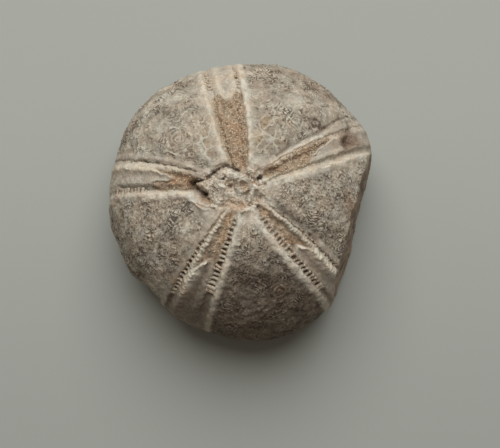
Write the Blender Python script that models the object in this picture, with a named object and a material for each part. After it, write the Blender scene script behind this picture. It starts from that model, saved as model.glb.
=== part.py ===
"""Fossil sea urchin: one weathered stone test, domed above, flat below.

The solid is one grid of rings and spokes. The rings follow the dome down from its
crown, one comb tooth apart. The spokes follow the rims, the pore grooves and the
tongues of the five petals, so that each of them is a clean run of faces. One steep
broken face is cut off the side.
"""

import math
from collections import namedtuple

import bmesh
import bpy
from mathutils import Vector

MM = 0.001

# Driving dimensions (metres)
BODY_RADIUS = 24.6 * MM
WIDEST_HEIGHT = 9.5 * MM
DOME_RISE = 17.0 * MM
DOME_POWER = 2.3
BELLY_DROP = 10.6 * MM
BELLY_POWER = 2.4

# Petals: the five star-shaped pore fields, named by where they point
Petal = namedtuple("Petal", "name angle bend width reach tongue_start tongue_share")
PETALS = (
    Petal("front left", math.radians(-116.7), 0.0, 5.2 * MM, 16.5 * MM, 13.6 * MM, 0.38),
    Petal("front right", math.radians(-45.5), math.radians(-12), 3.05 * MM, 7.5 * MM, 12.8 * MM, 0.52),
    Petal("back right", math.radians(26.7), math.radians(5), 2.5 * MM, 8.0 * MM, 13.0 * MM, 0.44),
    Petal("back", math.radians(101.2), 0.0, 3.4 * MM, 6.2 * MM, 15.8 * MM, 0.44),
    Petal("left", math.radians(172.1), 0.0, 4.3 * MM, 14.5 * MM, 11.8 * MM, 0.36),
)
BEND_REACH = 6.0 * MM
PETAL_TOP = 3.4 * MM
PETAL_FULL = 6.5 * MM
PETAL_FADE = 19.0 * MM
PETAL_END = 35.0 * MM

# Heights of the petals' parts against the dome
RIM_HEIGHT = 0.42 * MM
RIM_FOOT = 0.85 * MM
RIM_HALF_WIDTH = 0.25 * MM
GROOVE_OUTER_SHARE = 0.78
GROOVE_INNER_STEP = 0.06
TONGUE_EDGE_STEP = 0.08
GROOVE_STATION = 3
GROOVE_DEPTH = 0.50 * MM
INFILL_DEPTH = 0.38 * MM
TONGUE_HEIGHT = 0.25 * MM
TONGUE_CROWN = 0.16 * MM
TONGUE_RISE = 1.1 * MM
TONGUE_POINT = 1.6 * MM

# Comb: one pore slot between two teeth in each step along a groove
COMB_PITCH = 0.85 * MM
COMB_START = 3.9 * MM
COMB_RINGS = 27
SLOT_TOP = 5.4 * MM
SLOT_END = 24.8 * MM
SLOT_BORDER = 0.17 * MM
SLOT_DEPTH = 0.42 * MM

# Panels between the petals
PANEL_SPOKES = 6
PANEL_SWELL = 0.90 * MM
PANEL_TIPS = (4.0 * MM, 3.2 * MM, 3.9 * MM, 5.4 * MM, 7.4 * MM)
PANEL_RISE = 7.0 * MM
TIP_RIDGE = 0.45 * MM
TIP_REACH = 0.8 * MM

# Crown: the small lumpy plate where the petals meet
CROWN_RINGS = (1.1 * MM, 2.1 * MM, 3.0 * MM)
Spot = namedtuple("Spot", "arc angle reach height")
CROWN_SPOTS = (
    Spot(1.8 * MM, math.radians(150), 1.3 * MM, 0.40 * MM),
    Spot(4.6 * MM, math.radians(178), 1.5 * MM, 0.45 * MM),
    Spot(3.1 * MM, math.radians(-140), 1.2 * MM, 0.30 * MM),
    Spot(1.5 * MM, math.radians(-70), 1.1 * MM, 0.25 * MM),
    Spot(4.7 * MM, math.radians(128), 1.0 * MM, -0.70 * MM),
    Spot(5.9 * MM, math.radians(150), 1.0 * MM, -0.60 * MM),
    Spot(8.9 * MM, math.radians(175), 1.4 * MM, -1.10 * MM),
    Spot(6.6 * MM, math.radians(-169), 0.9 * MM, -0.60 * MM),
    Spot(3.2 * MM, math.radians(31), 0.8 * MM, -0.50 * MM),
    Spot(4.2 * MM, math.radians(-56), 0.7 * MM, -0.45 * MM),
)

# Worn flats, and with negative depth bulges, on the side wall
Flat = namedtuple("Flat", "angle spread depth")
FLATS = (
    Flat(math.radians(-157), math.radians(12), 1.2 * MM),
    Flat(math.radians(-137), math.radians(9), 1.6 * MM),
    Flat(math.radians(-62), math.radians(16), -0.25 * MM),
    Flat(math.radians(30), math.radians(9), -0.8 * MM),
    Flat(math.radians(100), math.radians(26), -0.4 * MM),
)
FLAT_TOP = 20.0 * MM
FLAT_FULL = 29.0 * MM

# Broken face on the right side
BREAK_ANGLE = math.radians(-15.7)
BREAK_LEAN = math.radians(6)
BREAK_DISTANCE = 20.3 * MM
BREAK_HOLLOW = 0.35 * MM
BREAK_MARGIN = 0.5 * MM

# Side wall and underside
WALL_RINGS = 8
FLAT_RINGS = (11.0 * MM, 8.0 * MM, 5.4 * MM, 4.2 * MM)
MOUTH_RING = 2.8 * MM
MOUTH_WALL_HEIGHT = 0.9 * MM
MOUTH_DEPTH = 1.3 * MM

# Looks
STONE_COLOUR = (0.36, 0.32, 0.26, 1.0)
STONE_ROUGHNESS = 0.9
SMOOTH_ANGLE = math.radians(35)

PROFILE_STEPS = 3600
SHORTEST_EDGE = 0.02 * MM


def clear_scene():
    """Remove what the scene holds."""
    for item in list(bpy.data.objects):
        bpy.data.objects.remove(item, do_unlink=True)


def fade(value, start, end):
    """Go smoothly from 0 at start to 1 at end."""
    share = min(1.0, max(0.0, (value - start) / (end - start)))
    return share * share * (3.0 - 2.0 * share)


def body_point(polar, angle, relief=0.0):
    """Point of the body in a direction from its middle, moved out by relief."""
    out, up = math.sin(polar), math.cos(polar)
    rise, power = (DOME_RISE, DOME_POWER) if up >= 0 else (BELLY_DROP, BELLY_POWER)
    size = (abs(out) / BODY_RADIUS) ** power + (abs(up) / rise) ** power
    reach = size ** (-1.0 / power) + relief
    side = reach * out
    height = max(0.0, WIDEST_HEIGHT + reach * up)
    if height < SHORTEST_EDGE and up < 0:
        height = 0.0
        side = WIDEST_HEIGHT * math.tan(math.pi - polar)
    return Vector((side * math.cos(angle), side * math.sin(angle), height))


class Meridian:
    """Distance down the plain body from its crown, for each polar angle."""

    def __init__(self):
        self.polars = [math.pi * step / PROFILE_STEPS for step in range(PROFILE_STEPS + 1)]
        self.arcs = [0.0]
        last = body_point(0.0, 0.0)
        for polar in self.polars[1:-1]:
            point = body_point(polar, 0.0)
            self.arcs.append(self.arcs[-1] + (point - last).length)
            last = point
        self.arcs.append(self.arcs[-1] + last.x)

    def polar_at(self, arc):
        for step in range(PROFILE_STEPS):
            if self.arcs[step + 1] >= arc:
                share = (arc - self.arcs[step]) / (self.arcs[step + 1] - self.arcs[step])
                return self.polars[step] + share * (self.polars[1] - self.polars[0])
        return math.pi

    def arc_at(self, polar):
        return self.arcs[min(PROFILE_STEPS, round(polar / math.pi * PROFILE_STEPS))]


def petal_width(petal, arc):
    """Half the petal's width, middle to rim, at a distance from the crown."""
    return petal.width * (1.0 - math.exp(-arc / petal.reach))


def petal_angle(petal, arc):
    return petal.angle + petal.bend * math.exp(-arc / BEND_REACH)


def tongue_height(arc, start, top):
    """Height between the grooves: sunken stone fill, then the raised tongue."""
    tongue = fade(arc, start - TONGUE_RISE, start + TONGUE_RISE)
    return tongue * top - (1.0 - tongue) * INFILL_DEPTH


def petal_stations(petal, arc):
    """Places across one petal as (sideways, height), from one foot to the other."""
    width = petal_width(petal, arc)
    growth = width / petal.width
    share = petal.tongue_share
    start = petal.tongue_start
    middle = tongue_height(arc, start, TONGUE_HEIGHT + TONGUE_CROWN)
    shoulder = tongue_height(arc, start + TONGUE_POINT, TONGUE_HEIGHT)
    half = (
        (width + RIM_FOOT * growth, 0.0),
        (width + RIM_HALF_WIDTH * growth, RIM_HEIGHT),
        (width - RIM_HALF_WIDTH * growth, RIM_HEIGHT),
        (width * GROOVE_OUTER_SHARE, -GROOVE_DEPTH),
        (width * (share + GROOVE_INNER_STEP), -GROOVE_DEPTH),
        (width * (share - TONGUE_EDGE_STEP), shoulder),
    )
    mirrored = tuple((-side, height) for side, height in half)
    return mirrored + ((0.0, middle),) + half[::-1]


def petal_strength(arc):
    return fade(arc, PETAL_TOP, PETAL_FULL) * (1.0 - fade(arc, PETAL_FADE, PETAL_END))


def panel_height(arc, tip, share):
    """Swell of a panel, with the ridge round its tip, a share of the way across."""
    across = math.sin(math.pi * share)
    swell = PANEL_SWELL * across * fade(arc, tip, tip + PANEL_RISE)
    return swell + TIP_RIDGE * across * math.exp(-(((arc - tip) / TIP_REACH) ** 2))


def ring_spokes(arc, side):
    """Spokes of one ring as (angle, relief)."""
    spokes = []
    for index, petal in enumerate(PETALS):
        follower = PETALS[(index + 1) % len(PETALS)]
        turn = 2 * math.pi if index == len(PETALS) - 1 else 0.0
        for offset, height in petal_stations(petal, arc):
            angle = petal_angle(petal, arc) + offset / side
            spokes.append((angle, height * petal_strength(arc)))
        start = spokes[-1][0]
        end = petal_angle(follower, arc) + petal_stations(follower, arc)[0][0] / side + turn
        for step in range(1, PANEL_SPOKES + 1):
            share = step / (PANEL_SPOKES + 1)
            height = panel_height(arc, PANEL_TIPS[index], share)
            spokes.append((start + share * (end - start), height))
    return spokes


def body_relief(arc, angle):
    """Lumps and pits of the crown, and the worn flats of the side wall."""
    height = 0.0
    for spot in CROWN_SPOTS:
        across = spot.arc * math.cos(spot.angle) - arc * math.cos(angle)
        along = spot.arc * math.sin(spot.angle) - arc * math.sin(angle)
        height += spot.height * math.exp(-((across ** 2 + along ** 2) / spot.reach ** 2))
    for flat in FLATS:
        gap = math.remainder(angle - flat.angle, 2 * math.pi)
        sink = flat.depth * math.exp(-((gap / flat.spread) ** 2))
        height -= sink * fade(arc, FLAT_TOP, FLAT_FULL)
    return height


def top_rings(meridian):
    """Polar angles of the rings from the crown down over the petals."""
    arcs = list(CROWN_RINGS)
    arcs += [COMB_START + step * COMB_PITCH for step in range(COMB_RINGS)]
    return [meridian.polar_at(arc) for arc in arcs]


def wall_rings(first, last):
    """Polar angles of the rings between the last tooth and the flat base."""
    return [first + (last - first) * step / (WALL_RINGS + 1) for step in range(1, WALL_RINGS + 1)]


def base_radius():
    """Radius of the flat base, where the rounded belly meets the ground."""
    share = 1.0 - (WIDEST_HEIGHT / BELLY_DROP) ** BELLY_POWER
    return BODY_RADIUS * share ** (1.0 / BELLY_POWER)


def add_ring(mesh, meridian, polar, base_polar):
    """One ring of the wall, with all its relief."""
    arc = meridian.arc_at(polar)
    side = body_point(polar, 0.0).x
    settle = 1.0 - fade(polar, 0.5 * (math.pi / 2 + base_polar), base_polar)
    ring = []
    for angle, height in ring_spokes(arc, side):
        relief = (height + body_relief(arc, angle)) * settle
        ring.append(mesh.verts.new(body_point(polar, angle, relief)))
    return ring


def add_base_ring(mesh, angles, radius, height):
    """One ring of the underside."""
    return [
        mesh.verts.new((radius * math.cos(angle), radius * math.sin(angle), height))
        for angle in angles
    ]


def bridge(mesh, upper, lower):
    """Quads between two rings, in the order of the spokes."""
    count = len(upper)
    return [
        mesh.faces.new((upper[i], lower[i], lower[(i + 1) % count], upper[(i + 1) % count]))
        for i in range(count)
    ]


def close_with_fan(mesh, ring, point, outwards):
    """Triangles from a ring to one point."""
    tip = mesh.verts.new(point)
    count = len(ring)
    for i in range(count):
        corners = (tip, ring[i], ring[(i + 1) % count])
        mesh.faces.new(corners if outwards else corners[::-1])


def groove_spokes():
    """Numbers of the spokes on the inner side of which a groove's floor lies."""
    stations = len(petal_stations(PETALS[0], PETAL_FULL))
    step = stations + PANEL_SPOKES
    return {
        index * step + place
        for index in range(len(PETALS))
        for place in (GROOVE_STATION, stations - 2 - GROOVE_STATION)
    }


def build_body(mesh):
    """The whole closed body, before the break, and its groove faces."""
    meridian = Meridian()
    base_polar = math.pi - math.atan2(base_radius(), WIDEST_HEIGHT)
    polars = top_rings(meridian)
    polars += wall_rings(polars[-1], base_polar) + [base_polar]
    rings = [add_ring(mesh, meridian, polar, base_polar) for polar in polars]
    close_with_fan(mesh, rings[0], body_point(0.0, 0.0, body_relief(0.0, 0.0)), True)

    slots = []
    grooves = groove_spokes()
    for polar, upper, lower in zip(polars, rings, rings[1:]):
        faces = bridge(mesh, upper, lower)
        if SLOT_TOP <= meridian.arc_at(polar) <= SLOT_END:
            slots += [face for number, face in enumerate(faces) if number in grooves]

    angles = [math.atan2(vert.co.y, vert.co.x) for vert in rings[-1]]
    below = [(radius, 0.0) for radius in FLAT_RINGS] + [(MOUTH_RING, MOUTH_WALL_HEIGHT)]
    ring = rings[-1]
    for radius, height in below:
        following = add_base_ring(mesh, angles, radius, height)
        bridge(mesh, ring, following)
        ring = following
    close_with_fan(mesh, ring, (0.0, 0.0, MOUTH_DEPTH), False)
    return slots


def break_plane():
    """A point on the broken face and the direction it looks in."""
    outward = Vector((math.cos(BREAK_ANGLE), math.sin(BREAK_ANGLE), 0.0))
    place = outward * BREAK_DISTANCE + Vector((0.0, 0.0, WIDEST_HEIGHT))
    normal = outward * math.cos(BREAK_LEAN) + Vector((0.0, 0.0, math.sin(BREAK_LEAN)))
    return place, normal


def cut_pore_slots(mesh, faces):
    """Sink one slot into each whole groove face and leave a tooth between slots."""
    place, normal = break_plane()
    slots = [
        face for face in faces
        if max((vert.co - place).dot(normal) for vert in face.verts) < -BREAK_MARGIN
    ]
    mesh.normal_update()
    bmesh.ops.inset_individual(
        mesh, faces=slots, thickness=SLOT_BORDER, depth=-SLOT_DEPTH, use_even_offset=True
    )


def break_side(mesh):
    """Cut the steep broken face and hollow it a little."""
    place, normal = break_plane()
    geometry = mesh.verts[:] + mesh.edges[:] + mesh.faces[:]
    bmesh.ops.bisect_plane(
        mesh, geom=geometry, plane_co=place, plane_no=normal, clear_outer=True, dist=SHORTEST_EDGE
    )
    rim = [edge for edge in mesh.edges if edge.is_boundary]
    filled = bmesh.ops.holes_fill(mesh, edges=rim, sides=0)
    poked = bmesh.ops.poke(mesh, faces=filled["faces"])
    for vert in poked["verts"]:
        vert.co -= normal * BREAK_HOLLOW
    bmesh.ops.remove_doubles(mesh, verts=mesh.verts[:], dist=SHORTEST_EDGE)


def stand_on_origin(mesh):
    """Centre the body over the origin, with its base at the ground."""
    for axis in (0, 1):
        places = [vert.co[axis] for vert in mesh.verts]
        middle = 0.5 * (min(places) + max(places))
        for vert in mesh.verts:
            vert.co[axis] -= middle


def stone_material():
    """Dry, pale grey-brown stone."""
    material = bpy.data.materials.new("fossil stone")
    material.use_nodes = True
    shader = material.node_tree.nodes["Principled BSDF"]
    shader.inputs["Base Color"].default_value = STONE_COLOUR
    shader.inputs["Roughness"].default_value = STONE_ROUGHNESS
    shader.inputs["Metallic"].default_value = 0.0
    return material


def make_urchin():
    """The fossil as one object."""
    mesh = bmesh.new()
    slots = build_body(mesh)
    cut_pore_slots(mesh, slots)
    break_side(mesh)
    stand_on_origin(mesh)
    bmesh.ops.triangulate(mesh, faces=mesh.faces[:])
    bmesh.ops.recalc_face_normals(mesh, faces=mesh.faces[:])
    data = bpy.data.meshes.new("sea_urchin_test")
    mesh.to_mesh(data)
    mesh.free()
    data.materials.append(stone_material())
    data.shade_smooth()
    data.set_sharp_from_angle(angle=SMOOTH_ANGLE)
    urchin = bpy.data.objects.new("sea_urchin_test", data)
    bpy.context.scene.collection.objects.link(urchin)
    return urchin


clear_scene()
make_urchin()
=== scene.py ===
import math
from collections import namedtuple

import bmesh
import bpy
import numpy as np
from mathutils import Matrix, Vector


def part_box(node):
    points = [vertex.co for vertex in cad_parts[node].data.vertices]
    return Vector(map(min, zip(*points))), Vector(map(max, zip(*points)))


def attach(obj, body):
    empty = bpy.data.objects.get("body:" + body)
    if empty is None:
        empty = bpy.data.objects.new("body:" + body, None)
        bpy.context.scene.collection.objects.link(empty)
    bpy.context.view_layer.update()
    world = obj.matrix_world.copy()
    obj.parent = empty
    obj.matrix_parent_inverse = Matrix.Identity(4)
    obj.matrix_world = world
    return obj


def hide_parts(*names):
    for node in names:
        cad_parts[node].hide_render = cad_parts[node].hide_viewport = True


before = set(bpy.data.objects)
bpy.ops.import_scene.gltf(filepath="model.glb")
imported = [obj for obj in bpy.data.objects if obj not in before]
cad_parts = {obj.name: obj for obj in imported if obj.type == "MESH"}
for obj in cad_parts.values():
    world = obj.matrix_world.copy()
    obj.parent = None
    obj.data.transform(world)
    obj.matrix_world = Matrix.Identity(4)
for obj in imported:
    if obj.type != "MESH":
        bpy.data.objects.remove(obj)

bl_info = {
    "name": "Fossil Sea Urchin",
    "version": (1, 0, 0),
    "blender": (4, 5, 0),
    "location": "3D View > Sidebar > Sea Urchin",
    "description": "Builds the finished looks of a fossil sea urchin and its plain studio",
    "category": "Object",
}

MM = 0.001
NODE = "sea_urchin_test"
BODY = "root"
BOX_LOW, BOX_HIGH = (Vector(corner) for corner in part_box(NODE))
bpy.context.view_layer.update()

# Plain body: a rounded dome on a rounded belly, both about one upright axis. The lumps of the
# crown reach above the dome
CROWN_ABOVE = 0.36 * MM
WIDEST_HEIGHT = 9.5 * MM
DOME_POWER = 2.3
BELLY_DROP = 10.6 * MM
BELLY_POWER = 2.4
BODY_RADIUS = 24.6 * MM
DOME_RISE = BOX_HIGH.z - WIDEST_HEIGHT - CROWN_ABOVE

# One side of a petal: its outer rim, its comb's ridge and its slots, as shares of the fullest,
# the ridge's place and the groove's inner edge from the tongue's edge to the rim, how far down
# the comb starts and ends, and the chalk on the tongue's edge
Side = namedtuple("Side", "rim ridge place inner slots start end edge")

# Petals: angle is that of the middle line, bend how far it turns near the crown, width the half
# width and reach how slowly it is gained, top where the petal starts below the crown, point how
# long the tongue's tip is, share the tongue's part of the width, shift its place to the left,
# lean that of its tip, then how dark the petal is, partly darker stone and partly painted shade
# towards its foot, and sand how sandy
Petal = namedtuple(
    "Petal",
    "name angle bend width reach top tongue_start point share shift lean dusk sand left right"
)
PETALS = (
    Petal("front left", math.radians(-116.7), 0.0,
          5.2 * MM, 16.5 * MM, 4.2 * MM, 13.5 * MM, 1.7 * MM, 0.42, -0.25 * MM, 0.6 * MM, 0.75, 0.3,
          Side(0.95, 0.2, 0.0, 0.25, 1.0, 5.5 * MM, 19.5 * MM, 0.2),
          Side(0.1, 1.0, 0.22, 0.48, 1.0, 11.0 * MM, 23.5 * MM, 1.6)),
    Petal("front right", math.radians(-45.5), math.radians(-12),
          3.05 * MM, 7.5 * MM, 4.0 * MM, 13.4 * MM, 1.7 * MM, 0.50, -0.05 * MM, -0.3 * MM, 0.4, 0.15,
          Side(0.0, 0.9, 0.35, 0.55, 0.75, 8.0 * MM, 23.0 * MM, 1.5),
          Side(0.9, 0.1, 0.0, -0.25, 0.85, 6.0 * MM, 23.0 * MM, 0.3)),
    Petal("back right", math.radians(25.4), math.radians(6),
          2.95 * MM, 8.0 * MM, 3.4 * MM, 12.4 * MM, 2.6 * MM, 0.46, 0.35 * MM, -0.7 * MM, 0.1, 0.6,
          Side(0.3, 0.3, 0.30, 0.75, 0.3, 12.0 * MM, 25.0 * MM, 0.7),
          Side(1.0, 0.3, 0.5, 0.1, 0.8, 30.0 * MM, 35.0 * MM, 0.3)),
    Petal("back", math.radians(101.2), 0.0,
          3.4 * MM, 6.2 * MM, 2.6 * MM, 16.4 * MM, 1.7 * MM, 0.46, -0.50 * MM, 0.0, 0.0, 1.0,
          Side(0.8, 0.1, 0.2, 0.3, 0.25, 20.5 * MM, 27.0 * MM, 0.8),
          Side(0.9, 0.1, 0.2, 0.3, 0.2, 19.5 * MM, 27.0 * MM, 0.8)),
    Petal("left", math.radians(172.1), 0.0,
          4.3 * MM, 14.5 * MM, 7.6 * MM, 12.4 * MM, 4.0 * MM, 0.38, -0.35 * MM, 0.0, 0.0, 0.5,
          Side(0.75, 0.4, 0.6, 0.5, 0.35, 18.5 * MM, 25.5 * MM, 0.0),
          Side(0.1, 1.0, 0.42, 0.78, 0.62, 10.5 * MM, 25.5 * MM, 0.8)),
)
BEND_REACH = 6.0 * MM
TREMBLE = 0.10 * MM
EDGE_TREMBLE = 1.3 * TREMBLE
EDGE_TREMBLE_RUN = 1.1 * MM
PETAL_RISE = 2.4 * MM
PETAL_FADE = 19.0 * MM
PETAL_END = 35.0 * MM

# Heights and widths across a petal
RIM_HEIGHT = 0.48 * MM
RIM_PLACE = 0.10 * MM
RIM_UNEVENNESS = 0.22
RIM_RUN = 1.6 * MM
RIM_RISE = 2.0 * MM
RIM_REACH = 0.62 * MM
RIM_OUTER_REACH = 1.1 * MM
RIM_BAND = 0.66 * MM
RIM_BAND_PLACE = 0.15 * MM
FRAME_CHALK = 0.12
FRAME_WIDTH = 0.8 * MM
GROOVE_OUTER_SHARE = 0.94
GROOVE_DEPTH = 0.66 * MM
RIDGE_HEIGHT = 0.14 * MM
RIDGE_SWELL = 0.40 * MM
RIDGE_REACH = 0.26 * MM
RIDGE_SPREAD = 0.40 * MM
BEAD_PITCH = 0.62 * MM
BEAD_SHARE = 0.15
BEAD_UNEVENNESS = 0.25
BEAD_RUN = 1.3 * MM
FILL_DEPTH = 0.42 * MM
TONGUE_HEIGHT = 0.14 * MM
TONGUE_SLOPE = 0.45 * MM
TONGUE_BLEND = 0.35 * MM
TONGUE_EDGE = 0.30 * MM
TONGUE_EDGE_PLACE = 0.26 * MM
TONGUE_EDGE_REACH = 0.50 * MM

# Pore combs: where comb and tongue draw together, how the slots fade in and out, the steps
# along a groove, and how far a tooth may stand from its even place
JOIN_REACH = 2.0 * MM
SLOT_LEAD = 1.0 * MM
SLOT_RISE = 6.0 * MM
COMB_FADE = 3.5 * MM
COMB_STEP = 0.4 * MM
TOOTH_SHIFT = 0.09 * MM

# Panels between the petals, in the order of the petals they follow
PANEL_SWELL = 0.90 * MM
PANEL_TIPS = (3.7 * MM, 3.1 * MM, 3.9 * MM, 5.4 * MM, 7.6 * MM)
TIP_CHALK = (0.9, 0.8, 0.2, 0.2, 0.4)
PANEL_RISE = 7.0 * MM
TIP_RIDGE = 0.45 * MM
TIP_REACH = 0.7 * MM
RIM_FOOT = 0.85 * MM

# Crown: its size, and how much wider and narrower it is towards two of the petals
CROWN_SIZE = 3.9 * MM
CROWN_WIDER = 3.9 * MM
CROWN_WIDER_ANGLE = math.radians(178)
CROWN_WIDER_SPREAD = 0.8
CROWN_NARROWER = 1.2 * MM
CROWN_NARROWER_ANGLE = math.radians(101.2)
CROWN_NARROWER_SPREAD = 0.35

# Lumps and pits as places on the flattened dome, with reach and height
Spot = namedtuple("Spot", "arc angle reach height")
CROWN_SPOTS = (
    Spot(3.3 * MM, math.radians(-175), 1.3 * MM, 0.36 * MM),
    Spot(4.0 * MM, math.radians(150), 0.9 * MM, 0.42 * MM),
    Spot(5.4 * MM, math.radians(176), 1.2 * MM, 0.40 * MM),
    Spot(3.0 * MM, math.radians(-150), 1.0 * MM, 0.26 * MM),
    Spot(2.6 * MM, math.radians(120), 0.8 * MM, 0.30 * MM),
    Spot(2.0 * MM, math.radians(-70), 0.7 * MM, 0.22 * MM),
    Spot(3.8 * MM, math.radians(160), 0.28 * MM, -0.60 * MM),
    Spot(2.4 * MM, math.radians(174), 0.45 * MM, -0.75 * MM),
    Spot(3.2 * MM, math.radians(31), 0.42 * MM, -0.75 * MM),
    Spot(4.2 * MM, math.radians(-56), 0.30 * MM, -0.65 * MM),
    Spot(2.4 * MM, math.radians(-32), 0.45 * MM, -0.45 * MM),
    Spot(1.3 * MM, math.radians(-66), 0.40 * MM, -0.35 * MM),
    Spot(15.3 * MM, math.radians(99), 0.34 * MM, -0.45 * MM),
    Spot(16.0 * MM, math.radians(94.5), 0.26 * MM, -0.50 * MM),
    Spot(8.2 * MM, math.radians(-34), 0.30 * MM, -0.50 * MM),
    Spot(14.2 * MM, math.radians(-35), 0.28 * MM, -0.40 * MM),
    Spot(21.2 * MM, math.radians(27.5), 0.85 * MM, -0.55 * MM),
    Spot(22.3 * MM, math.radians(25), 0.60 * MM, -0.35 * MM),
)
KNOB_ARC = 0.3 * MM
KNOB_ANGLE = math.radians(125)
KNOB_RADIUS = 1.02 * MM
KNOB_HEIGHT = 0.42 * MM
KNOB_REACH = 0.36 * MM
KNOB_HOLLOW = 0.20 * MM
KNOB_HOLLOW_REACH = 0.5 * MM
KNOB_MOAT_PLACE = 0.35 * MM
KNOB_MOAT_REACH = 0.26 * MM
KNOB_DIRT_PLACE = 0.26 * MM
KNOB_DIRT_REACH = 0.16 * MM

# Ridges and crevices: lines on the flattened dome through points of (arc in mm, degrees),
# with reach and height, and how dark, chalky or rusty they are
Line = namedtuple("Line", "points reach height dark chalk rust")
CREVICE = (
    (6.4, 163), (5.9, 154), (5.2, 142), (4.8, 130), (4.1, 120), (3.1, 109),
)
LINES = (
    Line(CREVICE, 0.34 * MM, -0.70 * MM, 1.5, 0.0, 0.0),
    Line(((9.4, 174), (8.5, 171), (7.5, 169)), 0.32 * MM, -1.00 * MM, 1.4, 0.0, 0.0),
    Line(((9.3, 176), (8.2, -179), (7.0, -173)), 0.60 * MM, -1.40 * MM, 1.3, 0.0, 0.2),
    Line(((7.2, -173), (6.6, -164)), 0.55 * MM, -1.30 * MM, 0.2, 0.0, 2.0),
    Line(((9.0, -166), (8.1, -159), (7.1, -151), (5.9, -146), (4.5, -150)),
         0.46 * MM, 0.46 * MM, 0.0, 1.0, 0.0),
    Line(((8.2, -161), (7.3, -153), (6.3, -145)), 0.17 * MM, -0.34 * MM, 0.2, 0.0, 0.9),
    Line(((5.6, 98), (3.9, 95), (2.5, 90)), 0.75 * MM, -0.30 * MM, 0.0, 0.0, 0.6),
    Line(((2.9, 35), (4.5, 34), (6.3, 33)), 0.50 * MM, -0.35 * MM, 0.5, 0.0, 0.2),
    Line(((9.6, -155), (12.3, -152), (15.4, -150)), 0.14 * MM, -0.20 * MM, 0.7, 0.0, 0.0),
    Line(((6.3, -32), (9.4, -33), (11.7, -34), (15.2, -36)), 0.42 * MM, -0.35 * MM, 0.6, 0.0, 0.0),
    Line(((6.5, -27), (7.5, -28), (11.2, -31), (15.0, -33)), 0.75 * MM, -0.12 * MM, 0.45, 0.0, 0.0),
    Line(((7.9, 45), (10.1, 43), (13.7, 40), (20.4, 38), (25.3, 38)),
         0.32 * MM, -0.30 * MM, 0.55, 0.0, 0.0),
    Line(((8.9, 162), (11.0, 161), (13.7, 161), (16.6, 162), (19.6, 163)),
         0.38 * MM, -0.22 * MM, 0.65, 0.0, 0.0),
    Line(((24.0, 177), (18.8, 178), (14.7, 178), (10.7, 178)), 0.42 * MM, -0.30 * MM, 0.85, 0.0, 0.0),
    Line(((18.1, -176), (13.8, -175), (9.2, -172)), 0.50 * MM, 0.16 * MM, 0.0, 1.0, 0.0),
    Line(((6.4, 40), (8.9, 38), (12.0, 36), (16.5, 35)), 0.46 * MM, 0.10 * MM, 0.0, 0.9, 0.0),
    Line(((24.5, 34), (23.0, 31), (21.5, 27), (20.4, 24)), 0.75 * MM, -0.35 * MM, 0.7, 0.0, 0.2),
    Line(((5.3, 21), (3.9, 17), (3.1, 5), (3.5, -15), (4.7, -25)),
         0.34 * MM, 0.30 * MM, 0.0, 1.0, 0.0),
    Line(((5.5, -103), (4.1, -97), (3.5, -82), (4.2, -69), (5.6, -65)),
         0.34 * MM, 0.30 * MM, 0.0, 1.0, 0.0),
    Line(((10.6, 136), (6.8, 144)), 0.38 * MM, 0.14 * MM, 0.0, 0.8, 0.0),
    Line(((15.1, 122), (12.8, 126)), 0.22 * MM, 0.10 * MM, 0.0, 0.6, 0.0),
    Line(((16.9, 130), (17.1, 120)), 0.12 * MM, 0.06 * MM, 0.0, 0.7, 0.0),
    Line(((14.6, 62), (14.1, 44)), 0.13 * MM, 0.08 * MM, 0.0, 0.8, 0.0),
    Line(((11.1, 59), (16.3, 58)), 0.12 * MM, 0.08 * MM, 0.0, 0.7, 0.0),
    Line(((17.9, 59), (17.4, 48)), 0.12 * MM, 0.08 * MM, 0.0, 0.6, 0.0),
)

# Worn flats, and with negative depth bulges, on the side wall
Flat = namedtuple("Flat", "angle spread depth")
FLATS = (
    Flat(math.radians(-157), math.radians(12), 1.2 * MM),
    Flat(math.radians(-137), math.radians(9), 1.6 * MM),
    Flat(math.radians(-62), math.radians(16), -0.25 * MM),
    Flat(math.radians(30), math.radians(9), -0.8 * MM),
    Flat(math.radians(100), math.radians(26), -0.4 * MM),
)
FLAT_TOP = 20.0 * MM
FLAT_FULL = 29.0 * MM

# Broken face on the right side: its direction, distance, waves, and a bulge at a share along it
BREAK_ANGLE = math.radians(-15.7)
BREAK_LEAN = math.radians(6)
BREAK_DISTANCE = 20.3 * MM
BREAK_WAVE = 0.22 * MM
BREAK_BULGE = 0.45 * MM
BREAK_BULGE_PLACE = -0.42
BREAK_BULGE_REACH = 0.13
LEAST_TOWARDS = 0.05
BREAK_BLEND = 0.30 * MM
BREAK_MARGIN = 0.4 * MM

# Underside: the mouth hollow, how far it is lifted inside the resting ring, the polar angles over
# which it begins, and the tubercles' least height and number tried on each square metre
MOUTH_RADIUS = 3.6 * MM
MOUTH_DEPTH = 1.3 * MM
BASE_LIFT = 0.36 * MM
BASE_EDGE = 0.8 * MM
UNDER_START = math.radians(103)
UNDER_FULL = math.radians(118)
TUBERCLE_LOW = 0.3 * MM
TUBERCLE_DENSITY = 1e7

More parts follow.
